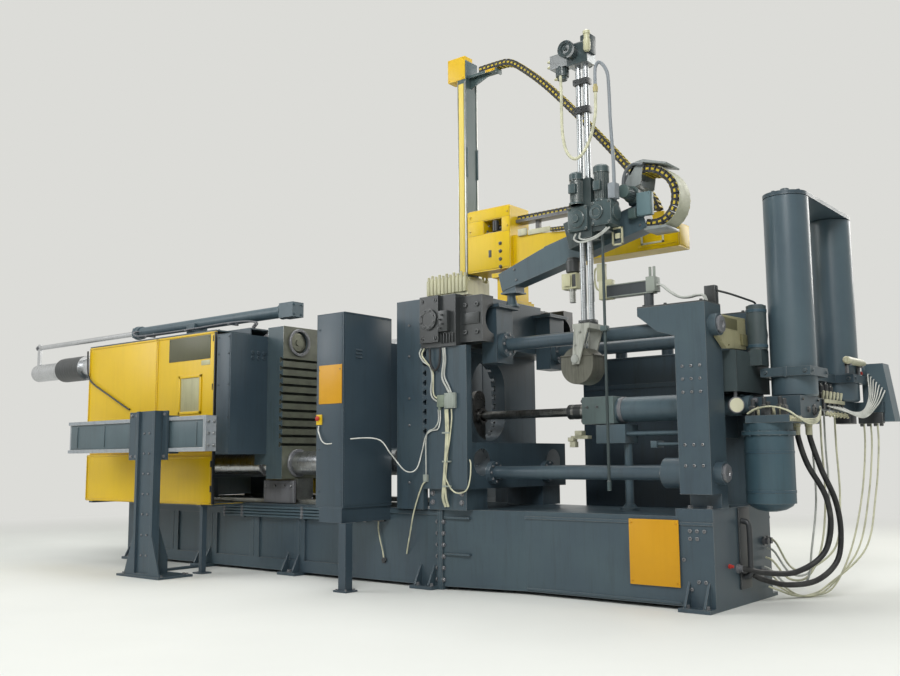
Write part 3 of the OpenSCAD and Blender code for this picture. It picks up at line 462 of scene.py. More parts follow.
class Shape:
    """Mesh of one piece, put together from plates, turned parts and tubes"""

    def __init__(self):
        self.bm = bmesh.new()

    def block(self, low, high, edge):
        """Box between two opposite corners, given in either order"""
        low, high = Vector(map(min, low, high)), Vector(map(max, low, high))
        made = bmesh.ops.create_cube(self.bm, size=1.0)["verts"]
        for v in made:
            v.co = Vector(((v.co[i] + 0.5) * (high[i] - low[i]) + low[i]) for i in range(3))
        self._round(made, edge)

    def rim(self, xs, ys, zs, width, edge):
        """Four strips round an opening that looks across y"""
        for x0, x1, z0, z1 in (
            (xs[0], xs[1], zs[0], zs[0] + width),
            (xs[0], xs[1], zs[1] - width, zs[1]),
            (xs[0], xs[0] + width, zs[0], zs[1]),
            (xs[1] - width, xs[1], zs[0], zs[1]),
        ):
            self.block((x0, ys[0], z0), (x1, ys[1], z1), edge)

    def _round(self, verts, edge):
        if edge:
            edges = {e for v in verts for e in v.link_edges}
            sharp = [e for e in edges if len(e.link_faces) == 2 and e.calc_face_angle(0) > 0.5]
            bmesh.ops.bevel(
                self.bm, geom=sharp, offset=edge, segments=2, profile=0.6, affect="EDGES", clamp_overlap=True
            )

    def turned(self, at, axis, outline, sides, hollow=False):
        """Solid of revolution: outline is a list of (distance along the axis, radius)"""
        spin = Vector(axis).normalized().to_track_quat("Z", "Y").to_matrix()
        at = Vector(at)
        rings = []
        for along, radius in outline:
            ring = []
            for k in range(sides):
                a = 2 * math.pi * k / sides
                ring.append(self.bm.verts.new(at + spin @ Vector((
                    radius * math.cos(a), radius * math.sin(a), along,
                ))))
            rings.append(ring)
        for one, two in zip(rings, rings[1:] + rings[:1] if hollow else rings[1:]):
            for k in range(sides):
                self.bm.faces.new((one[k], one[(k + 1) % sides], two[(k + 1) % sides], two[k]))
        if not hollow:
            self.bm.faces.new(list(reversed(rings[0])))
            self.bm.faces.new(rings[-1])

    def bar(self, start, end, radius, edge=0.003, sides=24):
        start, end = Vector(start), Vector(end)
        long = (end - start).length
        edge = min(edge, radius * 0.4, long * 0.4)
        self.turned(
            start, end - start,
            [(0, radius - edge), (edge, radius), (long - edge, radius), (long, radius - edge)], sides,
        )

    def hex_bolt(self, at, axis, across, washer=True):
        """Hexagon head on its washer, standing up from at along axis"""
        r, tall = across * 0.577, across * 0.62
        if washer:
            self.turned(at, axis, [(0, r * 1.25), (across * 0.1, r * 1.25), (across * 0.12, r * 1.2)], 20)
        self.turned(at, axis, [(0, r), (tall * 0.85, r), (tall, r * 0.86)], 6)

    def cap_screw(self, at, axis, size):
        """Socket head screw with its hexagon recess"""
        self.turned(at, axis, [
            (0, size / 2), (size * 0.6, size / 2), (size * 0.66, size * 0.44), (size * 0.66, size * 0.27),
            (size * 0.3, size * 0.25),
        ], 18)

    def hex_bolts(self, xs, ys, zs, axis, across, washer=True):
        for at in grid(xs, ys, zs):
            self.hex_bolt(at, axis, across, washer)

    def cap_screws(self, xs, ys, zs, axis, size):
        for at in grid(xs, ys, zs):
            self.cap_screw(at, axis, size)

    def tube(self, path, radius, sides=12):
        path = [Vector(p) for p in path]
        normal = None
        rings = []
        for k, spot in enumerate(path):
            along = (path[min(k + 1, len(path) - 1)] - path[max(k - 1, 0)]).normalized()
            if normal is None:
                normal = along.orthogonal().normalized()
            normal = (normal - along * normal.dot(along)).normalized()
            across = along.cross(normal)
            ring = []
            for j in range(sides):
                a = 2 * math.pi * j / sides
                ring.append(self.bm.verts.new(spot + (normal * math.cos(a) + across * math.sin(a)) * radius))
            rings.append(ring)
        for one, two in zip(rings, rings[1:]):
            for j in range(sides):
                self.bm.faces.new((one[j], one[(j + 1) % sides], two[(j + 1) % sides], two[j]))
        self.bm.faces.new(list(reversed(rings[0])))
        self.bm.faces.new(rings[-1])

    def plate(self, outline, across, start, end, edge=0.003):
        """Flat plate: its outline in the plane across x, y or z, from start to end along it"""
        order = {
            "x": lambda u, v, w: (w, u, v), "y": lambda u, v, w: (u, w, v), "z": lambda u, v, w: (u, v, w),
        }[across]
        lower = [self.bm.verts.new(order(u, v, start)) for u, v in outline]
        upper = [self.bm.verts.new(order(u, v, end)) for u, v in outline]
        n = len(outline)
        self.bm.faces.new(list(reversed(lower)))
        self.bm.faces.new(upper)
        for k in range(n):
            self.bm.faces.new((lower[k], lower[(k + 1) % n], upper[(k + 1) % n], upper[k]))
        bmesh.ops.recalc_face_normals(self.bm, faces=list({f for v in lower + upper for f in v.link_faces}))
        self._round(lower + upper, edge)

    def close_box(self, corners):
        """Six faces on eight corners, counted like binary numbers"""
        for face in ((0, 1, 3, 2), (4, 6, 7, 5), (0, 2, 6, 4), (1, 5, 7, 3), (0, 4, 5, 1), (2, 3, 7, 6)):
            self.bm.faces.new([corners[i] for i in face])

    def made(self, name, mat, body="frame", slot="blue_paint", smooth=0.6):
        data = bpy.data.meshes.new(name)
        bmesh.ops.recalc_face_normals(self.bm, faces=self.bm.faces)
        self.bm.to_mesh(data)
        self.bm.free()
        data.materials.append(mat)
        data.shade_smooth()
        data.set_sharp_from_angle(angle=smooth)
        piece = bpy.data.objects.new(name, data)
        bpy.context.scene.collection.objects.link(piece)
        if body:
            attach(piece, body)
        return piece


# anchor bolts, joint flange bolts, welded ribs and the rail along the top edge
bolt_steel = painted("bolt_steel", "5f6063", "74757a", bare="a5a6a6", wear=1.0, grease=0.6)
anchors = Shape()
anchors.hex_bolts((-6.47, -6.25, -4.5, -2.5, -0.13, 0.09), (-1.06, 1.06), 0.04, UP, 0.055)
anchors.hex_bolts((3.39, 3.61), (-0.85, 0.85), 0.04, UP, 0.055)
anchors.made("anchor_nuts", bolt_steel, slot="bare_steel")

flange = Shape()
for side in (-1, 1):
    for z in (0.12, 0.26, 0.4, 0.54, 0.68, 0.82):
        flange.hex_bolt((0.24, side * 0.995, z), FORE, 0.042)
        flange.hex_bolt((0.16, side * 0.995, z), AFT, 0.042)
flange.made("joint_bolts", bolt_steel, slot="bare_steel")

ribs = Shape()
for side in (-1, 1):
    # welded ribs where the injection bed narrows
    for z in (0.42, 0.86):
        ribs.plate(
            [(0.262, side * 0.978), (0.262, side * 1.004), (0.62, side * 0.96), (0.62, side * 0.88)], "z", z,
            z + 0.022,
        )
    # stiffening strips on the clamping bed
    for x in (-5.3, -4.32, -3.34, -2.36):
        ribs.block((x - 0.05, side * 0.952, 0.21), (x - 0.03, side * 0.985, 0.8), 0.003)
    ribs.block((-6.58, side * 0.98, 0.9), (0.15, side * 0.998, 0.95), 0.004)
    ribs.block((1.34, side * 0.77, 0.06), (3.3, side * 0.784, 0.085), 0.003)
ribs.made("bed_ribs", bed_blue)

# hole rows and pipe stubs in the injection bed's side
ports = Shape()
for x, z in (
    (3.42, 0.82), (3.5, 0.82), (3.58, 0.82), (3.42, 0.74), (3.5, 0.74), (3.5, 0.3), (3.58, 0.3),
    (3.42, 0.22), (3.34, 0.52),
):
    ports.turned(
        (x, -0.77, z), NEAR, [(0, 0.02), (0.012, 0.02), (0.014, 0.016), (0.014, 0.01), (0.004, 0.009)], 20,
    )
for y, z in ((0.32, 0.3), (0.46, 0.3), (0.56, 0.64), (0.66, 0.64), (-0.2, 0.4)):
    ports.turned((3.68, y, z), FORE, [(0, 0.05), (0.02, 0.05), (0.022, 0.036), (0.06, 0.036)], 24)
ports.made("bed_ports", bolt_steel, slot="bare_steel")
pump_line = Shape()
pump_line.block((3.68, -0.15, 0.17), (3.7, 0.14, 1.04), 0.006)
pump_line.tube(curve_points([
    (3.7, -0.08, 0.9), (3.76, -0.08, 0.88), (3.78, -0.08, 0.8), (3.78, -0.08, 0.5), (3.77, -0.08, 0.34),
    (3.7, -0.08, 0.3),
], 6), 0.03, 16)
pump_line.block((-0.97, -1.02, 0.79), (-0.74, -0.98, 0.92), 0.01)
pump_line.turned((-0.756, -0.975, 0.3), NEAR, [(0, 0.04), (0.03, 0.04), (0.036, 0.03)], 6)
pump_line.made("bed_end_fittings", painted("fitting_black", "2b2d30", "3c3f41", wear=0.8), slot="black_steel")

# ---------------------------------------------------------------- bed ways and platen shoes
# Hardened steel ways are screwed to the bed, and the platen rides on them on bronze-lined steel
# shoes. Both are ground bright and carry a film of grey way oil.

# Cut or ground metal: fine tool lines along one direction, oil stains and small dents
machined, given, out = new_group(
    "machined",
    [
        ("Metal", "Color", grey(0.5)), ("Stain", "Color", grey(0.2)), ("Lines", "Vector", (4.0, 4.0, 300.0)),
        ("Stained", "Float", 0.5),
    ],
    [("Colour", "Color"), ("Roughness", "Float"), ("Height", "Float")],
)
place = add(machined, "ShaderNodeTexCoord").outputs["Object"]
drawn = add(machined, "ShaderNodeVectorMath", {0: place, 1: given.outputs["Lines"]}, operation="MULTIPLY")
cuts = add(machined, "ShaderNodeTexNoise", {"Vector": drawn.outputs["Vector"], "Scale": 1.0, "Detail": 4.0})
stains = add(
    machined, "ShaderNodeTexNoise", {"Vector": place, "Scale": 5.0, "Detail": 8.0, "Roughness": 0.65},
)
spread = ramp(machined, stains.outputs["Fac"], [(0.4, grey(0)), (0.7, grey(1))])
spread = add(
    machined, "ShaderNodeMath", {0: spread, 1: given.outputs["Stained"]}, operation="MULTIPLY",
).outputs[0]
machined.links.new(
    mix(machined, spread, given.outputs["Metal"], given.outputs["Stain"]), out.inputs["Colour"],
)
level = add(machined, "ShaderNodeMapRange", {"Value": cuts.outputs["Fac"], "To Min": 0.18, "To Max": 0.42})
machined.links.new(level.outputs["Result"], out.inputs["Roughness"])
machined.links.new(cuts.outputs["Fac"], out.inputs["Height"])


def bare_metal(name, metal, stain, lines, stained=0.5, strength=0.08, metallic=0.9):
    mat, tree, shader = material(name, metallic=metallic)
    cut = grouped(tree, machined, Metal=metal, Stain=stain, Lines=lines, Stained=stained)
    wear_on(tree, shader, cut, strength, distance=0.0006)
    return mat


ground_steel = bare_metal("ground_steel", "a8aaa6", "5c5a50", lines=(6.0, 260.0, 260.0))
finish(ground_steel, "bed_ways", "platen_shoes")

way_screws = Shape()
for side in (-1, 1):
    for k in range(14):
        way_screws.cap_screw((-5.3 + 0.345 * k, side * 0.6, 1.03), UP, 0.03)
way_screws.made("way_screws", bolt_steel, slot="bare_steel")
shoe_keeps = Shape()
for side in (-1, 1):
    shoe_keeps.block((-3.26, side * 0.86, 0.98), (-2.6, side * 0.9, 1.3), 0.006)
    shoe_keeps.hex_bolts((-3.2, -3.0, -2.8, -2.66), side * 0.9, 1.22, (0, side, 0), 0.04)
shoe_keeps.made("shoe_keeps", bolt_steel, "moving_platen", "bare_steel")

# ---------------------------------------------------------------- fixed and rear platens
# Thick steel castings, planed where they carry dies and bars, and painted elsewhere. The fixed
# platen is open round the shot sleeve, between a lower and an upper bridge.

platen_blue = painted("platen_blue", "374650", "3f4e56", grease=0.55)
finish(platen_blue, "fixed_platen", "rear_platen", "die_space_frame", "bar_blocks")
frame_marks = Shape()
frame_marks.hex_bolts(-0.38, (-1.07, 1.07), (3.48, 1.1), AFT, 0.03, washer=False)
for side in (-1, 1):
    frame_marks.cap_screws(-0.21, side * 1.1, (1.3, 2.02, 2.36, 2.9, 3.3), (0, side, 0), 0.028)
    frame_marks.hex_bolts((0.12, 0.58), side * 1.04, (1.06, 1.17), (0, side, 0), 0.045)
frame_marks.made("frame_screws", bolt_steel, slot="bare_steel")

# lifting eyes on the platen's top
platen_fittings = Shape()
for side in (-1, 1):
    ring = list(circle((0.2, side * 0.45, 3.66), 0.05, "xz", 16))
    platen_fittings.tube(ring + ring[:1], 0.014, 8)
    platen_fittings.bar((0.2, side * 0.45, 3.595), (0.2, side * 0.45, 3.625), 0.036)
platen_fittings.made("platen_fittings", bolt_steel, slot="bare_steel")
# junction box, its connectors and cable straps on the operator's side
box = Shape()
box.block((0.39, -1.145, 2.21), (0.56, -1.1, 2.4), 0.008)
box.cap_screws((0.41, 0.54), -1.145, (2.235, 2.375), NEAR, 0.014)
box.block((0.04, -1.14, 1.31), (0.1, -1.1, 1.4), 0.006)
for z in (1.9, 1.55, 1.25):
    box.block((0.35, -1.142, z), (0.47, -1.1, z + 0.02), 0.003)
box.made("platen_junction_box", painted("box_grey", "8c948c", "9ba29a", wear=0.4, edge=0.003))
connector = Shape()
connector.block((0.27, -1.14, 2.23), (0.385, -1.1, 2.38), 0.01)
connector.block((0.29, -1.135, 2.19), (0.32, -1.105, 2.23), 0.004)
connector.made("platen_connector", sheathing("connector_green", "7d8878", "6a7466", 12.0), slot="cream_parts")

# ---------------------------------------------------------------- moving platen
# The T-slotted clamping platen: a planed steel casting whose eleven undercut slots take the die's
# clamp bolts, painted on its back and sides, with sheet covers over its side cylinders.

slotted_steel = painted(
    "slotted_steel", "404e55", "4a595d", bare="b4b6b4", grime="2a2a26", edge=0.012, wear=1.15, grease=0.7,
)
# its die face is planed and unpainted: oily green-grey steel where the surface looks along +x
tree = slotted_steel.node_tree
shader = tree.nodes["Principled BSDF"]
facing = add(tree, "ShaderNodeSeparateXYZ", {"Vector": add(tree, "ShaderNodeTexCoord").outputs["Normal"]})
planed = add(tree, "ShaderNodeMapRange", {"Value": facing.outputs["X"], "From Min": 0.9, "From Max": 0.97})
cut = grouped(tree, machined, Metal="5f6255", Stain="43453d", Lines=(4.0, 220.0, 5.0), Stained=0.75)
spray = next(s for s in tree.nodes if s.type == "GROUP" and s.node_tree == worn_paint)
tree.links.new(
    mix(tree, planed.outputs["Result"], spray.outputs["Colour"], cut.outputs["Colour"]),
    shader.inputs["Base Color"],
)
finish(slotted_steel, "moving_platen")
cover_blue = painted("cover_blue", "35434d", "3c4b54", edge=0.004, wear=0.5, grease=0.3)
finish(cover_blue, "platen_cover_front", "platen_cover_back")
covers = Shape()
for side in (-1, 1):
    covers.block((-3.27, side * 1.77, 1.70), (-3.0, side * 1.776, 3.37), 0.003)
    covers.hex_bolts((-3.25, -3.02), side * 1.776, (1.74, 2.2, 2.66, 3.1, 3.34), (0, side, 0), 0.02)
    # oil ports on the face beside the tie bar
    for y in (1.385, 1.28, 1.175):
        for z in (3.06, 3.135):
            covers.turned(
                (-2.98, side * y, z), FORE,
                [(0, 0.03), (0.012, 0.03), (0.016, 0.024), (0.016, 0.017), (0.004, 0.016)], 20,
            )
    covers.turned((-2.98, side * 1.115, 3.15), FORE, [(0, 0.014), (0.01, 0.014), (0.012, 0.01)], 12)
covers.made("cover_panels", cover_blue, "moving_platen", "blue_paint")
bushes = Shape()
for y in (-TIE_Y, TIE_Y):
    for z in (TIE_LOW, TIE_HIGH):
        for face, way in ((-2.64, 1), (-3.24, -1)):
            ring = [(0.0, 0.2), (0.026, 0.2), (0.03, 0.196), (0.03, 0.1662), (0.0, 0.1662)]
            spin = Vector((way, 0, 0))
            bushes.turned((face, y, z), spin, ring, 40, hollow=True)
            for at in circle((face + way * 0.028, y, z), 0.183, "yz", 8, 0.5):
                bushes.cap_screw(at, spin, 0.018)
bushes.made("tie_bushes", bolt_steel, "moving_platen", "bare_steel")

# ---------------------------------------------------------------- tie bars and split-nut locks
# Four forged tie bars, ground and hard-chromed. The upper two end in hydraulic split-nut locks in
# black-oxided housings, so that one bar can be drawn back to bring a large die in from above.

tie_chrome = bare_metal(
    "tie_chrome", "c8cacc", "8f9090", lines=(120.0, 6.0, 6.0), stained=0.25, strength=0.03, metallic=1.0,
)
black_oxide = painted(
    "black_oxide", "2b2e30", "393c3c", bare="77797a", grime="15150f", wear=1.0, grease=0.7, coat=0.3,
)
finish(tie_chrome, "fixed_tie_bars", "drawn_tie_bar", "puller_rod")
finish(black_oxide, "lock_front", "lock_back")
for side, label in SIDES:
    lock = Shape()
    # round cylinder cover in the outer plate, ringed with screws
    lock.turned(
        (0.19, side * 1.185, 3.33), (0, side, 0),
        [(0, 0.135), (0.03, 0.135), (0.036, 0.129), (0.036, 0.09), (0.028, 0.086)], 40,
    )
    for at in circle((0.19, side * 1.221, 3.33), 0.112, "xz", 8, 0.5):
        lock.cap_screw(at, (0, side, 0), 0.02)
    lock.cap_screws((0.085, 0.295), side * 1.17, (3.09, 3.565), (0, side, 0), 0.046)
    # second housing with the locking cylinder's round end covers
    for x in (0.66, 0.84):
        for z in (3.14, 3.48):
            lock.turned(
                (x, side * 1.04, z), (0, side, 0),
                [(0, 0.03), (0.016, 0.03), (0.02, 0.026), (0.02, 0.013), (0.008, 0.012)], 24,
            )
    lock.block((0.63, side * 1.04, 3.24), (0.88, side * 1.056, 3.38), 0.005)
    # valve blocks, fittings and the ribbed lower half
    lock.block((0.36, side * 1.14, 3.16), (0.5, side * 1.21, 3.42), 0.006)
    for k in range(4):
        lock.turned(
            (0.39 + 0.035 * (k % 2), side * 1.21, 3.2 + 0.055 * k), (0, side, 0),
            [(0, 0.014), (0.02, 0.014), (0.022, 0.01), (0.04, 0.01)], 12,
        )
    for k in range(5):
        lock.block((0.36 + 0.045 * k, side * 1.14, 3.02), (0.372 + 0.045 * k, side * 1.165, 3.14), 0.002)
    for x in (0.1, 0.3, 0.5):
        for y in (0.66, 0.96):
            lock.cap_screw((x, side * y, 3.625), UP, 0.036)
    lock.made(f"lock_details_{label}", black_oxide, slot="black_steel")
# clamp nuts on the ends of the fixed bars and the graduated collar of the drawn bar
nuts = Shape()
for y, z in ((-TIE_Y, TIE_LOW), (TIE_Y, TIE_LOW), (TIE_Y, TIE_HIGH)):
    nuts.turned((-5.58, y, z), AFT, [(0, 0.16), (0.02, 0.16), (0.03, 0.15), (0.03, 0.05), (0.02, 0.045)], 40)
    for at in circle((-5.52, y, z), 0.195, "yz", 10):
        nuts.cap_screw(at, AFT, 0.026)
nuts.made("bar_end_nuts", black_oxide, slot="black_steel")
collar = Shape()
outline = [(0.003, 0.17), (0.003, 0.2215)]
for k in range(9):
    start = 0.04 + 0.083 * k
    outline += [(start, 0.2215), (start + 0.003, 0.2245), (start + 0.02, 0.2245), (start + 0.023, 0.2215)]
collar.turned((-9.12, -TIE_Y, TIE_HIGH), FORE, outline + [(0.777, 0.2215), (0.777, 0.17)], 56)
collar.made("drawn_bar_collar", black_oxide, "tie_bar", "black_steel")
disc = Shape()
disc.turned((-2.662, -TIE_Y, TIE_HIGH), FORE, [
    (0, 0.158), (0.008, 0.158), (0.012, 0.152), (0.012, 0.118), (0.006, 0.115), (0.006, 0.05),
    (0.016, 0.046), (0.016, 0.02),
], 48)
disc.made(
    "drawn_bar_end", bare_metal("bar_end_steel", "6b6d61", "4a4b43", lines=(90.0, 90.0, 90.0), stained=0.8),
    "tie_bar", "bare_steel",
)

# ---------------------------------------------------------------- tie bar puller
# A long double-acting cylinder above the guard, held in a saddle on the rear platen, pushes the
# drawn bar out and in through a yoke on the bar's rear end. Tube painted, rod hard-chromed.

tube_blue = painted("tube_blue", "45565f", "4f6067", edge=0.004, wear=0.5)
finish(tube_blue, "puller_cylinder")
puller = Shape()
for x in (-6.77, -3.02):
    puller.turned(
        (x, -TIE_Y, PULLER_Z), FORE, [(0, 0.112), (0.006, 0.118), (0.034, 0.118), (0.04, 0.112)], 40,
    )
for x in (-6.8, -2.67):
    for y in (-0.07, 0.07):
        for z in (-0.07, 0.07):
            puller.hex_bolt((x, -TIE_Y + y, PULLER_Z + z), (-1 if x < -5 else 1, 0, 0), 0.03, washer=False)
puller.made("puller_flanges", tube_blue)
pipes = Shape()
for k, off in enumerate((0.03, 0.07)):
    pipes.tube(curve_points([
        (-6.66 + 0.1 * k, -0.92, 3.8), (-6.66 + 0.1 * k, -0.94 - off, 3.78), (-6.4, -0.95 - off, 3.7),
        (-5.2, -0.95 - off, 3.69), (-3.9, -0.95 - off, 3.7), (-3.4, -0.95 - off, 3.66),
        (-3.37, -1.0 - off, 3.57),
    ], 8), 0.014)
for x in (-6.2, -5.1, -4.0):
    pipes.block((x, -1.05, 3.67), (x + 0.04, -0.86, 3.685), 0.003)
    pipes.block((x, -0.9, 3.67), (x + 0.04, -0.86, 3.74), 0.003)
pipes.made("puller_pipes", bolt_steel, slot="bare_steel")
yoke = Shape()
yoke.turned((-10.15, -TIE_Y, PULLER_Z), AFT, [(0, 0.05), (0.03, 0.05), (0.036, 0.044)], 6)
yoke.block((-10.16, -0.815, 3.2), (-10.14, -0.785, 3.82), 0.003)
yoke.made("puller_yoke_nut", bolt_steel, "tie_bar", "bare_steel")

# ---------------------------------------------------------------- yellow guard
# Folded sheet-steel panels, sprayed warm yellow, close off the toggle. The operator side has two
# lower leaves, a framed window panel, a bare name plate and a bent pipe.

guard_yellow = painted(
    "guard_yellow", "d2ac02", "dab50a", bare="9c9a8c", grime="7a6410", edge=0.004, wear=0.6, grease=0.12,
    peel=0.06, coat=0.1,
)
dark_trim = painted("dark_trim", "232528", "303335", wear=0.5, edge=0.003)
pane_cream = painted("pane_cream", "b3b08a", "a5a27c", wear=0.2, edge=0.002, grease=0.3)
plate_olive = painted("plate_olive", "4a4a33", "56563c", wear=0.3, edge=0.002, grease=0.3)
roof_blue = painted("roof_blue", "3a4851", "43535a", edge=0.004, wear=0.5)
guard_legs = guard_yellow.copy()
guard_legs.name = "guard_legs"
tree = guard_legs.node_tree
height = add(tree, "ShaderNodeSeparateXYZ", {"Vector": add(tree, "ShaderNodeTexCoord").outputs["Object"]})
above = add(tree, "ShaderNodeMath", {0: height.outputs["Z"], 1: 0.965}, operation="GREATER_THAN").outputs[0]
spray = next(s for s in tree.nodes if s.type == "GROUP")
for label, low, high in (("Paint", "37454f", "d2ac02"), ("Faded", "414f59", "dab50a")):
    tree.links.new(mix(tree, above, hex_colour(low), hex_colour(high)), spray.inputs[label])
finish(guard_legs, "guard_front", "guard_back")
finish(roof_blue, "guard_roof", "guard_rear")
for side, label in SIDES:
    skin = Shape()
    for x0, x1, z0, z1 in (
        (-6.66, -4.775, 1.76, 3.44), (-4.763, -3.37, 1.76, 3.44), (-6.64, -5.09, 0.985, 1.69),
        (-4.7, -3.39, 0.985, 1.65),
    ):
        skin.block((x0, side * 1.75, z0), (x1, side * 1.756, z1), 0.003)
        # folded rims round each leaf
        skin.rim((x0, x1), (side * 1.754, side * 1.766), (z0, z1), 0.02, 0.003)
    skin.made(f"guard_skin_{label}", guard_yellow, slot="yellow_paint")
    trim = Shape()
    # edge strip towards the platen, and hinges
    trim.block((-3.372, side * 1.72, 0.98), (-3.352, side * 1.762, 3.44), 0.003)
    for z in (1.85, 2.6, 3.3, 1.15, 1.5):
        trim.bar((-3.39, side * 1.762, z), (-3.39, side * 1.762, z + 0.09), 0.012)
    trim.made(f"guard_trim_{label}", dark_trim, slot="black_steel")
    # folded window frame and its plain panel
    window = Shape()
    window.rim((-4.19, -3.65), (side * 1.754, side * 1.776), (2.27, 2.84), 0.04, 0.004)
    window.made(f"guard_window_{label}", guard_yellow, slot="yellow_paint")
    pane = Shape()
    pane.block((-4.15, side * 1.754, 2.31), (-3.69, side * 1.762, 2.8), 0.002)
    pane.block((-3.67, side * 1.756, 2.97), (-3.465, side * 1.761, 3.04), 0.001)
    pane.made(f"guard_pane_{label}", pane_cream, slot="cream_parts")
    plate = Shape()
    plate.block((-4.46, side * 1.756, 3.06), (-3.46, side * 1.762, 3.41), 0.003)
    plate.cap_screws((-4.43, -3.49), side * 1.762, (3.09, 3.38), (0, side, 0), 0.014)
    plate.made(f"blank_plate_{label}", plate_olive, slot="black_steel")
    pipe = Shape()
    pipe.tube(curve_points([
        (-6.68, side * 1.79, 3.4), (-6.67, side * 1.79, 3.2), (-6.64, side * 1.79, 3.0),
        (-6.5, side * 1.79, 2.86), (-6.1, side * 1.79, 2.68), (-5.5, side * 1.79, 2.42),
        (-5.46, side * 1.765, 2.4),
    ], 6), 0.014, 12)
    pipe.made(f"guard_pipe_{label}", dark_trim, slot="black_steel")
# roof screws
roofing = Shape()
for x in [-6.6 + 0.4 * k for k in range(9)]:
    roofing.hex_bolts(x, (-1.66, 1.66), 3.47, UP, 0.024)
    roofing.hex_bolts(x, (-1.02, 1.02), 3.56, UP, 0.024)
roofing.made("roof_screws", bolt_steel, slot="bare_steel")

# ---------------------------------------------------------------- splash shields
# Upright sheet-metal boxes stand beside the die space to keep spray and flash in. They are folded,
# welded and sprayed grey-blue; the operator's box carries a bare square plate and a stop button.

shield_blue = painted("shield_blue", "33414b", "3a4851", edge=0.005, wear=0.45, grease=0.25)
panel_blue = painted("panel_blue", "465760", "506169", edge=0.004, wear=0.4, grease=0.2)
finish(shield_blue, "shield_front", "shield_back", "shield_stands")
for side, label in SIDES:
    box = Shape()
    box.block((-1.09, side * 1.87, 1.02), (-0.65, side * 1.874, 3.42), 0.003)
    for z in (1.2, 1.72, 2.72, 3.24):
        box.hex_bolt((-1.06, side * 1.874, z), (0, side, 0), 0.018)
        box.hex_bolt((-0.68, side * 1.874, z), (0, side, 0), 0.018)
    # end face towards the injection end: door with three recessed handles and vent slots
    box.block((-0.63, side * 1.0, 1.03), (-0.624, side * 1.85, 3.41), 0.003)
    for k in range(3):
        z = 2.87 + 0.045 * k
        box.plate([(-0.624, z), (-0.612, z + 0.006), (-0.624, z + 0.03)], "y", side * 1.55, side * 1.66, 0.0)
    box.block((-1.1, side * 1.02, 3.44), (-0.64, side * 1.84, 3.446), 0.002)
    box.made(f"shield_panels_{label}", shield_blue)
plate_orange = painted(
    "plate_orange", "c08a08", "ca9410", bare="9c9a8c", grime="5b4313", edge=0.002, wear=0.4, grease=0.08,
    coat=0.02,
)
square = Shape()
square.block((-1.06, -1.881, 2.29), (-0.65, -1.874, 2.78), 0.003)
square.cap_screws((-1.04, -0.67), -1.881, (2.31, 2.76), NEAR, 0.01)
square.made("shield_plate", plate_orange, slot="yellow_paint")
bed_plate = Shape()
bed_plate.block((2.71, -0.797, 0.23), (3.3, -0.787, 0.93), 0.004)
for x in (2.74, 3.27):
    for z in (0.27, 0.89):
        bed_plate.bar((x, -0.77, z), (x, -0.788, z), 0.014)
        bed_plate.cap_screw((x, -0.797, z), NEAR, 0.016)
bed_plate.made("bed_plate", plate_orange, slot="yellow_paint")
stop_red = sheathing("stop_red", "a3160f", "b03a2c", 20.0)
stop = Shape()
stop.turned(
    (-1.05, -1.884, 2.11), NEAR,
    [(0, 0.014), (0.02, 0.014), (0.022, 0.03), (0.034, 0.032), (0.042, 0.026), (0.045, 0.012)], 24,
)
stop.made("stop_button", stop_red, slot="black_steel")
stop_box = Shape()
stop_box.block((-1.1, -1.888, 2.03), (-1.0, -1.87, 2.16), 0.006)
stop_box.made("stop_button_box", guard_yellow, slot="yellow_paint")
stands = Shape()
for side in (-1, 1):
    for x in (-0.69, -0.53):
        for y in (1.77, 1.91):
            stands.hex_bolt((x, side * y, 0.02), UP, 0.026)
stands.made("shield_stand_bolts", bolt_steel, slot="bare_steel")

# ---------------------------------------------------------------- hydraulic pipes along the bed
# Four drawn steel tubes, painted with the bed, run below its top edge in clamp blocks and turn up
# to the die space through bent ends with compression fittings.

finish(tube_blue, "oil_pipes")
line_ends = Shape()
for k in range(4):
    z, y = 0.92 - 0.042 * k, -1.025
    x = -1.25 + 0.06 * k
    line_ends.turned((x - 0.01, y, z), FORE, [(0, 0.024), (0.03, 0.024), (0.034, 0.02)], 6)
    line_ends.turned((-4.0, y, z), AFT, [(-0.03, 0.024), (0.006, 0.024), (0.01, 0.02)], 6)
line_ends.made("pipe_nuts", bolt_steel, slot="bare_steel")
clamps = Shape()
for x in (-3.58, -2.28, -1.28):
    for k in range(4):
        z = 0.92 - 0.042 * k
        clamps.block((x - 0.025, -1.048, z - 0.02), (x + 0.025, -1.01, z + 0.02), 0.004)
clamps.made("pipe_clamps", sheathing("clamp_grey", "55585c", "6e7074", 12.0), slot="black_steel")

# ---------------------------------------------------------------- casting extractor
# A box-section beam slides through a saddle on a floor post and carries the casting out of the
# die. The beam's flanges are pale machined steel with a lighter paint between them.

beam_grey = painted(
    "beam_grey", "8b9197", "979c9f", bare="c4c6c4", grime="2c2f33", edge=0.01, wear=1.1, grease=0.5,
)
finish(beam_grey, "extractor_beam")
finish(platen_blue, "extractor_post")
beam = Shape()
beam.hex_bolts(-2.74, (-2.31, -2.22), (1.8, 1.96, 2.12), FORE, 0.03)
beam.made(
    "extractor_rails", bare_metal("rail_steel", "b0b3b4", "70726c", lines=(4.0, 240.0, 240.0)), "extractor",
    "bare_steel",
)
web = Shape()
web.block((-6.16, -2.324, 1.775), (-2.83, -2.316, 2.145), 0.002)
for k in range(5):
    web.block((-6.0 + 0.75 * k, -2.334, 1.8), (-5.965 + 0.75 * k, -2.32, 2.12), 0.003)
web.made("extractor_web", painted("web_blue", "46565c", "506167", wear=0.7), "extractor", "blue_paint")
saddle = Shape()
saddle.hex_bolts((-4.42, -4.3, -3.63), -2.38, (1.66, 2.24), NEAR, 0.034)
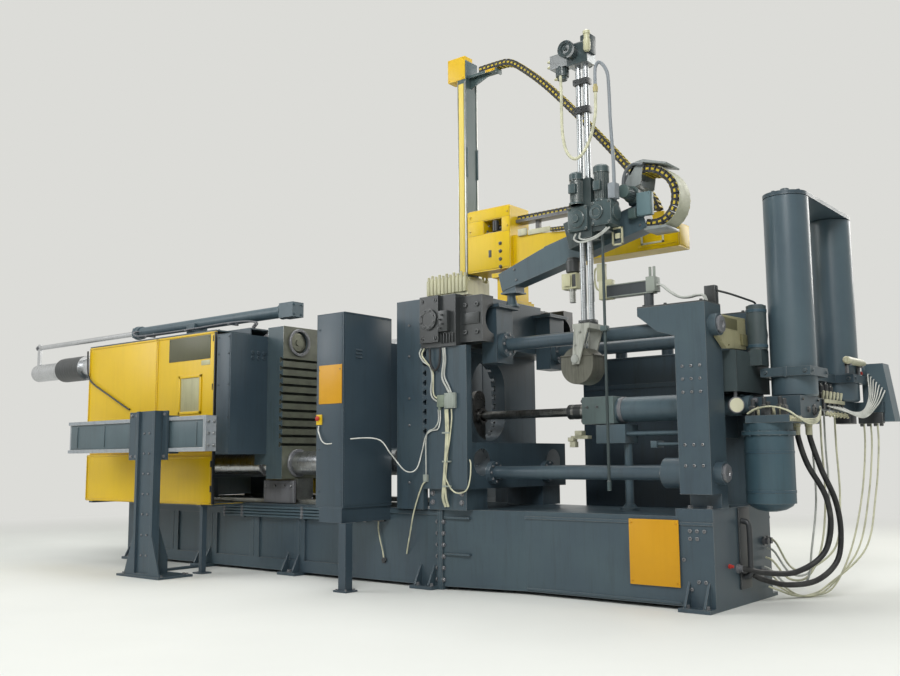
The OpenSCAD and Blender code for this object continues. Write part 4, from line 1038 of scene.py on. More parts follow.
for k in range(7):
    z = 0.3 + 0.28 * k
    saddle.hex_bolt((-3.97, -2.465, z), NEAR, 0.024, washer=False)
    saddle.hex_bolt((-3.85, -2.465, z), NEAR, 0.024, washer=False)
saddle.hex_bolts((-4.42, -4.25, -3.6, -3.53), (-2.44, -2.02), 0.03, UP, 0.036)
saddle.made("extractor_bolts", bolt_steel, slot="bare_steel")

# ---------------------------------------------------------------- C-frame injection end
# A cast column on the injection bed, tied to the fixed platen by four painted bars with nuts and
# flanges. It holds the shot cylinder, whose piston rod drives the plunger through a coupling.

finish(bed_blue, "c_frame_column", "c_frame_bars", "c_frame_nuts", "accumulator_frame")
finish(tube_blue, "injection_cylinder")
finish(bare_metal("sleeve_steel", "6f6e6c", "3c3a36", lines=(200.0, 6.0, 6.0), stained=0.8), "shot_sleeve")
finish(bare_metal("plunger_steel", "8a8b88", "38352f", lines=(240.0, 8.0, 8.0), stained=0.7), "plunger")
column = Shape()
for x in (3.4, 3.5, 3.6):
    for z in (1.5, 1.72, 2.28, 2.42, 2.56):
        column.turned((x, -0.77, z), NEAR, [(0, 0.016), (0.01, 0.016), (0.012, 0.012), (0.002, 0.011)], 16)
for y in (-0.6, 0.6):
    for z in (1.42, 3.0):
        column.turned(
            (3.77, y, z), FORE, [(0, 0.1), (0.02, 0.1), (0.03, 0.09), (0.03, 0.04), (0.02, 0.035)], 8,
        )
    # studs round the flanges of the four bars
    for x, z, ring, count, axis, size in (
        (3.09, 1.42, 0.125, 6, AFT, 0.034),
        (1.01, 3.0, 0.122, 8, FORE, 0.03),
        (0.78, 1.42, 0.112, 8, FORE, 0.026),
    ):
        for at in circle((x, y, z), ring, "yz", count):
            column.hex_bolt(at, axis, size, washer=False)
column.hex_bolts((3.38, 3.6), (-0.66, 0.66), 1.05, UP, 0.05)
column.made("column_bolts", bolt_steel, slot="bare_steel")

head_grey = painted("head_grey", "5f7071", "697a79", edge=0.006, wear=0.8)
head = Shape()
head.block((1.765, -0.165, 1.995), (2.205, 0.165, 2.325), 0.012)
head.made("cylinder_head", head_grey)
shot = Shape()
shot.hex_bolts(1.765, (-0.12, 0.12), (2.04, 2.28), AFT, 0.045)
for x in (1.84, 1.98, 2.12):
    shot.turned((x, -0.165, 2.2), NEAR, [(0, 0.016), (0.012, 0.016), (0.014, 0.01), (0.002, 0.009)], 16)
shot.turned((1.762, 0, SHOT_Z), AFT, [(0, 0.11), (0.02, 0.11), (0.026, 0.104), (0.026, 0.0662)], 36)
for x in (2.24, 3.26):
    shot.turned((x, 0, SHOT_Z), FORE, [(0, 0.152), (0.005, 0.158), (0.045, 0.158), (0.05, 0.152)], 48)
for y in (-0.09, 0.09):
    shot.turned((3.84, y * 0.4, SHOT_Z + y * 0.5), FORE, [(0, 0.03), (0.05, 0.03), (0.054, 0.024)], 16)
shot.made("cylinder_fittings", bolt_steel, slot="bare_steel")
# slide block, cooling rods and limit switches under the cylinder
under = Shape()
under.block((1.95, -0.16, 1.76), (2.35, 0.16, 1.985), 0.01)
under.bar((2.2, -0.11, 1.87), (3.32, -0.11, 1.87), 0.026)
under.bar((2.2, 0.1, 1.87), (3.32, 0.1, 1.87), 0.026)
under.bar((2.72, -0.13, 1.74), (3.32, -0.13, 1.74), 0.02)
under.block((2.68, -0.17, 1.7), (2.76, 0.02, 1.78), 0.006)
under.bar((2.3, 0, 1.0), (2.3, 0, 1.77), 0.05)
under.turned((2.3, 0, 0.97), UP, [(0, 0.12), (0.03, 0.12), (0.035, 0.09), (0.08, 0.055)], 30)
under.made("stroke_rods", tube_blue)
switches = Shape()
switches.block((1.62, -0.2, 1.82), (1.86, -0.1, 1.86), 0.004)
switches.block((1.6, -0.24, 1.79), (1.68, -0.14, 1.84), 0.008)
switches.block((1.7, -0.24, 1.86), (1.8, -0.14, 1.92), 0.008)
switches.block((1.62, -0.23, 1.72), (1.7, -0.15, 1.79), 0.008)
switches.made(
    "stroke_switches", painted("switch_cream", "c7c5ae", "b5b39a", wear=0.3, edge=0.003), slot="cream_parts",
)
joint = Shape()
joint.turned((1.49, 0, SHOT_Z), FORE, [
    (0, 0.085), (0.008, 0.0935), (0.06, 0.0935), (0.066, 0.088), (0.09, 0.088), (0.096, 0.0935),
    (0.2, 0.0935), (0.206, 0.088),
], 40)
for at in circle((1.49, 0, SHOT_Z), 0.068, "yz", 8):
    joint.cap_screw(at, AFT, 0.016)
joint.made("plunger_coupling", black_oxide, "plunger", "black_steel")
# top plates over the two cheeks, the box between them and its pipe
top = Shape()
for low, high in ((-0.77, -0.36), (0.36, 0.77)):
    top.block((2.88, low, 3.24), (3.68, high, 3.256), 0.004)
    top.hex_bolts((2.94, 3.2, 3.62), low + 0.05, 3.256, UP, 0.034)
top.block((3.54, -0.46, 3.256), (3.67, -0.37, 3.46), 0.008)
top.tube(curve_points([
    (3.67, -0.41, 3.4), (3.72, -0.33, 3.385), (3.76, -0.2, 3.37), (3.82, 0.05, 3.34), (3.85, 0.18, 3.32),
    (3.85, 0.22, 3.29),
], 6), 0.012, 10)
for y in (-0.57, -0.54):
    top.bar((3.61, y, 3.24), (3.61, y, 3.27), 0.02)
top.made("column_top_box", black_oxide, slot="black_steel")
panel = Shape()
panel.plate([(-0.6, 3.12), (0.15, 3.14), (0.15, 2.785), (-0.4, 2.76), (-0.59, 2.87)], "x", 3.69, 3.75, 0.008)
for y in (-0.5, 0.05):
    panel.bar((3.68, y, 3.0), (3.69, y, 3.0), 0.03)
panel.made(
    "junction_panel",
    painted("panel_beige", "a9a484", "989370", grime="55502f", wear=0.3, edge=0.003, grease=0.7),
    slot="cream_parts",
)
label_plate = Shape()
label_plate.block((3.75, -0.55, 2.98), (3.756, -0.1, 3.1), 0.002)
label_plate.block((3.75, -0.02, 2.82), (3.78, 0.12, 2.95), 0.006)
for y, z in ((-0.56, 2.91), (-0.35, 2.8), (0.12, 3.11), (-0.57, 3.09)):
    label_plate.cap_screw((3.75, y, z), FORE, 0.016)
label_plate.made(
    "junction_panel_label", painted("panel_olive", "6d6a4c", "5f5c42", wear=0.3, edge=0.003),
    slot="cream_parts",
)

# ---------------------------------------------------------------- accumulators and valves
# Two tall forged gas bottles feed the shot cylinder. They stand on a welded manifold in square
# split collars, are tied by a top plate, and have valve banks, a filter and an oil vessel below.

bottle_blue = painted("bottle_blue", "41525c", "4a5c64", edge=0.006, wear=0.5, grease=0.15, coat=0.35)
finish(bottle_blue, "accumulator_near", "accumulator_far")
vessel_paint = painted("vessel_paint", "374d58", "415861", wear=0.6)
finish(vessel_paint, "oil_vessel")
finish(painted("valve_slate", "3e494b", "485355", edge=0.005, wear=0.9, grease=0.5), "valve_block")
finish(panel_blue, "terminal_box")
collars = Shape()
for y in (0.49, 2.0):
    # split lines, clamping bolts and lugs of the square collars, and the plate's nuts on top
    for side in (-1, 1):
        collars.block((4.13, y + side * 0.28 - 0.006, 2.462), (4.17, y + side * 0.28 + 0.006, 2.578), 0.002)
        collars.hex_bolts((3.93, 4.37), y + side * 0.28, 2.52, (0, side, 0), 0.034)
        collars.hex_bolt((4.43, y + side * 0.225, 2.52), FORE, 0.032)
    for at in circle((4.15, y, 4.575), 0.19, "xy", 8, 0.5):
        collars.hex_bolt(at, UP, 0.04)
    collars.turned(
        (4.15, y, 4.575), UP, [(0, 0.09), (0.02, 0.09), (0.024, 0.05), (0.07, 0.05), (0.075, 0.04)], 32,
    )
collars.made("bottle_collars", bed_blue)
# dark solenoid valves, connector blocks and the manifold's plugs
valves = Shape()
for k in range(5):
    y = 0.84 + 0.17 * k
    valves.block((4.07, y - 0.055, 2.25), (4.23, y + 0.055, 2.33 + 0.02 * (k % 2)), 0.008)
    for x in (4.09, 4.21):
        valves.turned(
            (x, y, 2.33 + 0.02 * (k % 2)), UP, [(0, 0.03), (0.08, 0.03), (0.086, 0.022), (0.11, 0.016)], 20,
        )
    valves.turned((4.15, y, 2.12), DOWN, [(0, 0.022), (0.05, 0.022), (0.055, 0.016)], 6)
for y in (1.0, 1.17, 1.34, 1.51, 1.68):
    valves.block((4.28, y - 0.03, 2.13), (4.305, y + 0.03, 2.24), 0.004)
valves.block((4.08, 2.02, 1.985), (4.27, 2.28, 2.12), 0.008)
valves.block((4.31, 2.205, 1.985), (4.6, 2.3, 2.12), 0.008)
for x in (4.34, 4.42, 4.5, 4.57):
    valves.turned((x, 2.25, 1.985), DOWN, [(0, 0.024), (0.03, 0.024), (0.034, 0.016)], 8)
for x, y, tall in (
    (3.92, -0.17, 0.17), (4.0, -0.05, 0.2), (4.09, -0.17, 0.14), (4.17, -0.04, 0.2), (4.26, -0.16, 0.17),
):
    valves.block((x - 0.03, y - 0.035, 2.03), (x + 0.03, y + 0.035, 2.03 + tall * 0.6), 0.006)
    valves.turned(
        (x, y, 2.03 + tall * 0.6), UP, [(0, 0.022), (tall * 0.4, 0.022), (tall * 0.4 + 0.006, 0.014)], 16,
    )
valves.turned(
    (4.33, 0.55, 2.1), FORE, [(0, 0.062), (0.014, 0.062), (0.018, 0.056), (0.018, 0.03), (0.006, 0.028)], 28,
)
valves.turned((4.33, 0.36, 2.1), FORE, [(0, 0.034), (0.02, 0.034), (0.024, 0.026)], 6)
valves.cap_screws(4.33, (0.2, 0.68), (1.99, 2.21), FORE, 0.026)
valves.made(
    "valve_bank_black", painted("valve_black", "303234", "444648", bare="a8a69a", wear=0.9),
    slot="black_steel",
)
# cream and brass fittings: cable plugs on the valves, hose ends, a plug rail and the gauge
plugs = Shape()
for k in range(6):
    y = 1.02 + 0.128 * k
    plugs.turned((4.305, y, 2.075), FORE, [(0, 0.02), (0.03, 0.02), (0.034, 0.013), (0.05, 0.011)], 12)
    plugs.turned((4.298, y + 0.05, 2.1), (0.6, 0, -0.8), [(0, 0.016), (0.07, 0.016), (0.076, 0.01)], 12)
    plugs.turned(
        (4.27, y + 0.02, 2.24), (0.15, 0, 1), [(0, 0.013), (0.05, 0.017), (0.1, 0.017), (0.106, 0.008)], 12,
    )
plugs.block((4.285, 0.99, 2.2), (4.31, 1.72, 2.245), 0.006)
for x, y in ((4.18, 0.4), (4.27, 0.52)):
    plugs.turned(
        (x, y, 1.95), DOWN, [(0, 0.042), (0.03, 0.042), (0.034, 0.036), (0.12, 0.036), (0.125, 0.033)], 20,
    )
plugs.block((4.33, -0.22, 1.96), (4.342, 0.12, 2.02), 0.004)
for y in (-0.19, -0.12, -0.05, 0.02, 0.09):
    plugs.turned((4.342, y, 1.99), FORE, [(0, 0.015), (0.02, 0.015), (0.024, 0.01)], 8)
for x, y in ((3.95, -0.1), (4.05, 0.05), (4.12, -0.09), (4.21, -0.14)):
    plugs.turned((x, y, 2.03), UP, [(0, 0.016), (0.06, 0.016), (0.064, 0.011), (0.1, 0.011)], 10)
plugs.turned(
    (4.44, 1.42, 2.72), FAR, [(0, 0.03), (0.02, 0.045), (0.6, 0.045), (0.63, 0.036), (0.7, 0.03)], 28,
)
plugs.made("valve_plugs", painted(
    "fitting_cream", "c3c1a6", "aeac92", bare="b9a05c", grime="4a4632", edge=0.004, wear=1.0, grease=0.6,
), slot="cream_parts")
holders = Shape()
for y in (1.5, 1.95):
    holders.block((4.4, y, 2.57), (4.43, y + 0.05, 2.7), 0.003)
    holders.block((4.39, y, 2.66), (4.47, y + 0.05, 2.68), 0.003)
holders.turned((3.74, -0.2, 2.31), DOWN, [(0, 0.02), (0.1, 0.02)], 12)
holders.turned(
    (3.735, -0.195, 2.15), (0.7, -0.714, 0),
    [(-0.02, 0.06), (0.0, 0.09), (0.035, 0.09), (0.04, 0.084), (0.04, 0.079), (0.034, 0.078)], 40,
)
holders.made("gauge_and_brackets", bolt_steel, slot="bare_steel")
dial = Shape()
dial.turned(
    (3.735 + 0.7 * 0.0345, -0.195 - 0.714 * 0.0345, 2.15), (0.7, -0.714, 0),
    [(0, 0.0785), (0.001, 0.0785), (0.0015, 0.05)], 40,
)
dial.made(
    "gauge_dial", painted("dial_cream", "d8d6bc", "cfccb0", wear=0.1, edge=0.001, grease=0.1),
    slot="cream_parts",
)
# the vessel's bands, feet and drain, and the filter housing's head and base
vessel = Shape()
for z in (1.2, 1.62):
    vessel.turned((4.0, 0.03, z), UP, [(0, 0.2605), (0.003, 0.2645), (0.03, 0.2645), (0.033, 0.2605)], 64)
vessel.turned((4.0, 0.03, 1.09), DOWN, [(0, 0.24), (0.03, 0.22), (0.07, 0.15), (0.09, 0.05)], 48)
for z, axis in ((1.86, UP), (1.82, DOWN)):
    for at in circle((4.0, 0.03, z), 0.274, "xy", 16):
        vessel.hex_bolt(at, axis, 0.018, washer=False)
for z in (2.8, 3.2):
    vessel.turned((3.85, 0.22, z), UP, [(0, 0.111), (0.004, 0.116), (0.036, 0.116), (0.04, 0.111)], 48)
vessel.turned((3.85, 0.22, 3.28), UP, [(0, 0.09), (0.012, 0.085), (0.016, 0.04)], 40)
vessel.made("oil_vessel_ends", painted("vessel_trim", "334955", "3d535e", wear=0.7))
terminal = Shape()
terminal.block((4.375, 2.558, 2.05), (4.6, 2.569, 2.7), 0.004)
terminal.cap_screws((4.39, 4.585), 2.569, (2.08, 2.38, 2.67), FAR, 0.012)
for k in range(7):
    terminal.turned(
        (4.44 + 0.03 * k, 2.305, 2.6 - 0.035 * k), NEAR,
        [(0, 0.015), (0.012, 0.015), (0.014, 0.01), (0.02, 0.01)], 8,
    )
terminal.block((4.36, 2.292, 2.04), (4.4, 2.3, 2.7), 0.003)
terminal.made("terminal_fittings", panel_blue)
bracing = Shape()
for y in (0.4, 0.62):
    bracing.plate([(3.68, 1.95), (4.0, 1.95), (3.68, 1.62)], "y", y, y + 0.022)
bracing.plate([(0.72, 2.12), (1.1, 2.12), (0.72, 1.96)], "x", 4.14, 4.16)
bracing.made("manifold_gussets", bed_blue)
red_caps = Shape()
red_caps.turned((3.68, -0.415, 0.44), FORE, [(0, 0.024), (0.02, 0.024), (0.024, 0.018), (0.05, 0.016)], 16)
red_caps.turned((4.4, 2.06, 2.6), FORE, [(0, 0.022), (0.03, 0.022), (0.034, 0.014)], 16)
red_caps.made("port_caps", stop_red, slot="black_steel")

# ---------------------------------------------------------------- hydraulic tank
# A welded oil tank with a lid, a sight glass and cleaning covers stands behind the injection bed
# on two skid beams.

finish(painted("tank_blue", "323f49", "394750", edge=0.006, wear=0.5, grease=0.5), "hydraulic_tank")
tank = Shape()
for y, way in ((1.15, -1), (1.9, 1)):
    for x in (1.35, 2.05, 2.75):
        tank.block((x - 0.27, y, 0.35), (x + 0.27, y + way * 0.012, 0.95), 0.004)
        for k in range(4):
            tank.hex_bolts(x - 0.22 + 0.147 * k, y + way * 0.012, (0.39, 0.91), (0, way, 0), 0.022)
    tank.block((1.02, y, 2.5), (3.08, y + way * 0.01, 2.56), 0.003)
tank.block((0.985, 1.135, 2.9), (3.115, 1.915, 2.92), 0.004)
for x in (1.4, 2.1, 2.7):
    tank.turned((x, 1.52, 2.92), UP, [(0, 0.12), (0.02, 0.12), (0.025, 0.08), (0.12, 0.08), (0.13, 0.06)], 32)
tank.made("tank_covers", painted("tank_trim", "35434d", "3c4b54", wear=0.6))
brass = bare_metal("fitting_brass", "b9a05c", "6a5a34", lines=(90.0, 90.0, 90.0), stained=0.6, metallic=0.95)
glass = Shape()
glass.block((3.1, 1.45, 0.9), (3.118, 1.53, 1.5), 0.006)
glass.made("tank_sight_glass", brass, slot="bare_steel")

# ---------------------------------------------------------------- spray unit
# A die sprayer on the fixed platen: a yellow fabricated arm slides on a pedestal and lifts a
# steel column whose foot carries the cream valve bank and nozzles.

arm_yellow = painted(
    "arm_yellow", "dab600", "e0bf0c", bare="9c9a8c", grime="7a6410", edge=0.005, wear=0.6, grease=0.14,
    peel=0.06, coat=0.1,
)
column_slate = painted("column_slate", "415252", "4a5c5c", bare="b0b2b0", edge=0.006, wear=0.8, grease=0.3)
cap_yellow = painted(
    "cap_yellow", "d9ae12", "e0ba2a", bare="9c9a8c", grime="54460f", edge=0.004, wear=0.4, grease=0.1,
    coat=0.1,
)
finish(arm_yellow, "spray_arm", "spray_pedestal")
finish(column_slate, "spray_column")
cream_paint = painted(
    "cream_paint", "c6c4a4", "b4b290", bare="9b9a8c", grime="4a4632", edge=0.004, wear=0.7, grease=0.5,
)
finish(cream_paint, "spray_head")
# folded cover over the lifting belt, and the yellow strips down the column's sides
cap = Shape()
cap.block((-0.506, 0.087, 6.984), (-0.193, 0.268, 7.327), 0.006)
cap.block((-0.345, 0.1, 6.93), (-0.215, 0.25, 6.984), 0.004)
for side in (0.087, 0.268):
    way = -1 if side < 0.1 else 1
    cap.cap_screws((-0.48, -0.22), side, (7.01, 7.3), (0, way, 0), 0.014)
cap.made("spray_cap", cap_yellow, "spray_column", "yellow_paint")
strips = Shape()
for y0, y1 in ((0.086, 0.095), (0.345, 0.354)):
    strips.block((-0.312, y0, 4.13), (-0.222, y1, 6.92), 0.003)
strips.made(
    "spray_column_strips", painted("strip_yellow", "dcc45a", "e3ce70", wear=0.3, edge=0.003, grease=0.15),
    "spray_column", "yellow_paint",
)
rails = Shape()
for y0, y1 in ((0.088, 0.096), (0.344, 0.352)):
    for x0, x1 in ((-0.333, -0.32), (-0.212, -0.186)):
        rails.block((x0, y0, 4.13), (x1, y1, 6.95), 0.002)
for z0, z1 in ((4.13, 5.53), (6.0, 7.0)):
    rails.block((-0.181, 0.323, z0), (-0.171, 0.341, z1), 0.002)
rails.cap_screw((-0.266, 0.16, 7.327), UP, 0.03)
for k in range(5):
    rails.cap_screw((-0.43 + 0.05 * k, 0.24, 7.327), UP, 0.016)
rails.made("spray_column_guides", ground_steel, "spray_column", "bare_steel")
clamp_panel = Shape()
for y0, y1 in ((0.098, 0.118), (0.323, 0.343)):
    clamp_panel.block((-0.181, y0, 5.54), (-0.16, y1, 5.98), 0.004)
clamp_panel.block((-0.181, 0.09, 6.99), (-0.17, 0.35, 7.25), 0.004)
clamp_panel.made(
    "spray_column_clamp", painted("clamp_slate", "4c5d62", "55666a", wear=0.6), "spray_column", "black_steel",
)
shelf = Shape()
shelf.block((0.13, 0.142, 7.002), (0.29, 0.298, 7.038), 0.003)
shelf.cap_screws((0.16, 0.26), 0.142, 7.02, NEAR, 0.016)
shelf.made("chain_shelf_cover", cap_yellow, "spray_column", "yellow_paint")
gusset = Shape()
gusset.plate([(-0.181, 7.0), (0.2, 7.0), (-0.181, 6.86)], "y", 0.21, 0.23)
gusset.block((0.296, 0.155, 6.965), (0.318, 0.285, 7.035), 0.004)
gusset.made("chain_shelf_gusset", column_slate, "spray_column", "black_steel")

# carriage housing: folded covers, cover screws, guide slot and the drive seen through its window
housing = Shape()
housing.block((-0.106, 0.0, 4.13), (-0.094, 0.44, 4.97), 0.003)
for y0, y1, way in ((-0.008, 0.0, -1), (0.44, 0.448, 1)):
    housing.block((-0.09, y0, 4.14), (0.61, y1, 4.63), 0.004)
    housing.block((-0.09, y0, 4.83), (0.61, y1, 4.97), 0.004)
    housing.block((-0.09, y0, 4.63), (0.17, y1, 4.83), 0.003)
    housing.block((0.49, y0, 4.63), (0.61, y1, 4.83), 0.003)
    face = y0 if way < 0 else y1
    housing.hex_bolts((-0.05, 0.58), face, (4.9, 4.7), (0, way, 0), 0.022)
housing.block((-0.08, 0.01, 4.98), (0.6, 0.43, 4.99), 0.004)
# bare plates over the arm's sides, its end frame and end cover
for y0, y1 in ((0.063, 0.07), (0.37, 0.377)):
    housing.block((2.48, y0, 4.12), (2.99, y1, 4.15), 0.003)
    housing.block((2.48, y0, 4.33), (2.86, y1, 4.352), 0.003)
housing.block((3.01, 0.09, 4.1), (3.018, 0.35, 4.35), 0.003)
housing.made("spray_arm_panels", arm_yellow, "spray_arm", "yellow_paint")
drive = Shape()
for way, y in ((-1, -0.008), (1, 0.448)):
    drive.hex_bolts(0.46, y, (4.15, 4.255, 4.363, 4.47), (0, way, 0), 0.036)
    drive.block((0.262, y, 4.3), (0.31, y + way * 0.004, 4.4), 0.002)
drive.block((0.185, 0.02, 4.64), (0.475, 0.42, 4.655), 0.003)
drive.bar((0.36, 0.03, 4.655), (0.36, 0.03, 4.80), 0.045)
drive.bar((0.25, 0.2, 4.73), (0.46, 0.2, 4.73), 0.05)
drive.block((0.2, 0.25, 4.66), (0.45, 0.36, 4.79), 0.01)
for x, z in ((0.21, 4.68), (0.24, 4.75), (0.43, 4.7)):
    drive.cap_screw((x, 0.05, z), NEAR, 0.026)
drive.made("spray_drive", black_oxide, "spray_arm", "black_steel")
# connector box, second short chain on the arm's side, and the end frame over the bare window
plates = Shape()
plates.block((0.72, 0.03, 4.535), (0.85, 0.07, 4.63), 0.006)
plates.block((0.87, 0.05, 4.53), (1.22, 0.07, 4.6), 0.005)
for x in (2.52, 2.80):
    plates.block((x, 0.058, 4.15), (x + 0.028, 0.064, 4.33), 0.002)
plates.block((2.52, 0.058, 4.15), (2.828, 0.064, 4.172), 0.002)
plates.block((2.52, 0.058, 4.308), (2.828, 0.064, 4.33), 0.002)
plates.rim((2.06, 2.205), (0.04, 0.07), (4.2, 4.42), 0.015, 0.002)
plates.made(
    "spray_arm_fittings", painted("fitting_pale", "c9c7ab", "b5b397", wear=0.4, edge=0.003), "spray_arm",
    "cream_parts",
)

# energy chain: linked plastic plates, laid along the arm and hung from the column's shelf
chain_black = sheathing("chain_black", "2a2b2d", "4a4a48", 10.0)
chain_yellow = sheathing("chain_yellow", "c2ab2f", "9c8f3c", 10.0)


def energy_chain(name, path, width, tall, body, pitch):
    """Open plastic links strung along the path, with their cross-bars and side pins"""
    across = Vector(FAR)
    total = run_length(path)
    count = int(total / (tall * pitch))
    links, bars = Shape(), Shape()
    lengths = [0.0]
    for p, q in zip(path, path[1:]):
        lengths.append(lengths[-1] + (q - p).length)

    def spot(distance):
        for k in range(len(path) - 1):
            if lengths[k + 1] >= distance:
                t = (distance - lengths[k]) / (lengths[k + 1] - lengths[k])
                return path[k].lerp(path[k + 1], t)
        return path[-1]

    def slab(shape, start, end, up, inner, outer, low, high):
        corners = product((start, end), (inner, outer), (low, high))
        shape.close_box([shape.bm.verts.new(at + across * v + up * w) for at, v, w in corners])

    half = width / 2
    for k in range(count):
        a, b = spot(total * k / count), spot(total * (k + 0.9) / count)
        along = (b - a).normalized()
        up = along.cross(across).normalized()
        for s in (-1, 1):
            slab(links, a, b, up, (half - tall * 0.16) * s, half * s, -0.5 * tall, 0.5 * tall)
            slab(
                bars, a.lerp(b, 0.2), a.lerp(b, 0.8), up, half * s, (half + tall * 0.05) * s, -0.12 * tall,
                0.16 * tall,
            )
        for low, high in ((0.4, 0.54), (-0.54, -0.4)):
            slab(bars, a.lerp(b, 0.28), a.lerp(b, 0.7), up, -half, half, low * tall, high * tall)
        slab(links, a.lerp(b, 0.1), a.lerp(b, 0.85), up, -half * 0.86, half * 0.86, -0.36 * tall, 0.3 * tall)
    return (
        links.made(f"{name}_links", chain_black, body, "chain_plastic", 0.3),
        bars.made(f"{name}_bars", chain_yellow, body, "chain_plastic", 0.3),
    )


arm_chain = energy_chain(
    "arm_chain", curve_points([(x, 0.22, 4.805) for x in (0.63, 1.1, 1.6, 2.015)], 6), 0.11, 0.085,
    "spray_arm", 0.75,
)
trough = Shape()
trough.block((0.622, 0.13, 4.749), (2.08, 0.31, 4.76), 0.002)
for y in (0.13, 0.306):
    trough.block((0.622, y, 4.76), (2.08, y + 0.004, 4.79), 0.001)
for x in (0.9, 1.7):
    z = 4.57 - 0.2 * (x - 0.62) / 2.39
    trough.plate(
        [(x, z + 0.001), (x + 0.06, z - 0.004), (x + 0.06, 4.749), (x, 4.749)], "y", 0.19, 0.25, 0.002,
    )
for piece in (*arm_chain, trough.made("arm_chain_tray", bolt_steel, "spray_arm", "bare_steel")):
    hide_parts("arm_chain")
hanging = curve_points([(x, 0.22, z) for x, z in (
    (0, 7.0853), (0.32, 7.0853), (0.52, 7.0633), (0.72, 6.93), (1.1, 6.59), (1.56, 6.09), (1.98, 5.6),
    (2.28, 5.23), (2.52, 4.9), (2.64, 4.72), (2.695, 4.585),
)], 8)
for piece in energy_chain("drop_chain", hanging, 0.11, 0.085, None, 0.8):
    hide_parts("drop_chain")
    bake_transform(piece)
short_chain = curve_points([(1.24, 0.045, 4.545), (1.4, 0.045, 4.538), (1.56, 0.045, 4.53)], 6)
energy_chain("side_chain", short_chain, 0.045, 0.05, "spray_arm", 0.9)

# valve bank: rows of small solenoid valves, manifold and nozzles
bank = Shape()
for k in range(11):
    x = -0.8 + 0.065 * k
    for y in (-0.045, 0.455):
        bank.block((x, y - 0.02, 3.88), (x + 0.05, y + 0.03, 4.09 + 0.02 * (k % 2)), 0.004)
        bank.turned(
            (x + 0.025, y + 0.005, 4.09 + 0.02 * (k % 2)), UP, [(0, 0.02), (0.05, 0.02), (0.055, 0.014)], 16,
        )
for k in range(5):
    bank.block((-0.76 + 0.13 * k, 0.02, 4.04), (-0.66 + 0.13 * k, 0.42, 4.075), 0.005)
bank.made("valve_bank", cream_paint, "spray_column", "cream_parts")
copper = bare_metal("nozzle_copper", "a97a55", "5c4433", lines=(60.0, 60.0, 60.0), stained=0.6)
nozzles = Shape()
for k in range(10):
    x = -0.78 + 0.068 * k
    for y in (0.02, 0.42):
        nozzles.tube(
            curve_points([(x, y, 3.85), (x, y, 3.79), (x - 0.01, y * 1.02, 3.76), (x - 0.05, y, 3.745)], 4),
            0.008, 8,
        )
        nozzles.turned((x - 0.05, y, 3.745), AFT, [(0, 0.013), (0.02, 0.013), (0.03, 0.006)], 10)
nozzles.made("spray_nozzles", copper, "spray_column", "bare_steel")
pedestal = Shape()
pedestal.hex_bolts((0.29, 0.66), (0.06, 0.38), 3.665, UP, 0.04)
pedestal.plate([(0.33, 3.665), (0.26, 3.665), (0.33, 3.9)], "y", 0.2, 0.24)
pedestal.made("pedestal_details", arm_yellow, slot="yellow_paint")

# ---------------------------------------------------------------- ladler
# A melt ladler on a sloping girder: a motorised carriage guides twin chromed bars that raise and
# lower a forked cast-iron ladle, coated with pale refractory wash.

girder_blue = painted("girder_blue", "43535b", "4c5e64", edge=0.006, wear=0.8, grease=0.4)
finish(girder_blue, "ladler_girder", "girder_posts")
finish(painted("carriage_grey", "313c3d", "414d4d", edge=0.006, wear=0.9, grease=0.6), "ladler_carriage")
finish(bare_metal(
    "guide_chrome", "a4a8aa", "6f7272", lines=(8.0, 8.0, 90.0), stained=0.3, strength=0.03, metallic=1.0,
), "ladler_column")
finish(
    painted("fork_wash", "a9aba3", "8f9189", bare="5d5c56", grime="3a3a35", wear=1.0, grease=0.9),
    "ladle_fork",
)
finish(painted(
    "ladle_wash", "5f5f55", "4c4c44", bare="3c3934", grime="26241f", edge=0.01, wear=1.1, grease=1.0,
    peel=0.5, coat=0.0,
), "ladle")
finish(painted("arm_black", "33383c", "464b4e", edge=0.005, wear=0.8, grease=0.4), "cable_arm")
slope = Vector((math.cos(math.radians(13.7)), 0, math.sin(math.radians(13.7))))
lift = Vector((-slope.z, 0, slope.x))
foot = Vector((0.86, -0.43, 3.7))


def on_girder(along, across, up):
    return foot + slope * along + Vector((0, across, 0)) + lift * up


girder = Shape()
for way, across, along in ((-1, -0.111, (0.25, 2.05)), (1, 0.111, (0.25, 0.7, 1.15, 1.6, 2.05))):
    for u in along:
        girder.hex_bolt(on_girder(u, across, 0.06), (0, way, 0), 0.024, washer=False)
        girder.hex_bolt(on_girder(u, across, 0.2), (0, way, 0), 0.024, washer=False)
girder.made("girder_bolts", bolt_steel, slot="bare_steel")
# finned lift motors with fan cowls, their gearboxes, and bushes round the guide bars
drive = Shape()
for x, y, z0, z1, r in ((2.275, -1.0, 4.48, 4.86, 0.078), (2.532, -0.87, 4.5, 4.93, 0.09)):
    drive.turned((x, y, z0), UP, [(0, r * 0.9), (z1 - z0 - 0.08, r * 0.9)], 28)
    for at in circle((x, y, z0 + 0.03), r * 0.93, "xy", 24):
        drive.bar(at, (at.x, at.y, z1 - 0.1), 0.005, 0.001, 6)
    drive.turned((x, y, z0), UP, [(0, r * 1.15), (0.022, r * 1.15), (0.026, r)], 28)
    drive.turned((x, y, z1 - 0.09), UP, [(0, r * 1.04), (0.07, r * 1.04), (0.09, r * 0.8)], 28)
    drive.block((x - 0.045, y - r - 0.035, z0 + 0.12), (x + 0.045, y - r * 0.7, z0 + 0.23), 0.008)
drive.block((2.155, -1.02, 4.17), (2.42, -0.95, 4.46), 0.02)
drive.turned(
    (2.285, -1.02, 4.31), NEAR, [(0, 0.1), (0.018, 0.1), (0.024, 0.09), (0.024, 0.05), (0.05, 0.04)], 32,
)
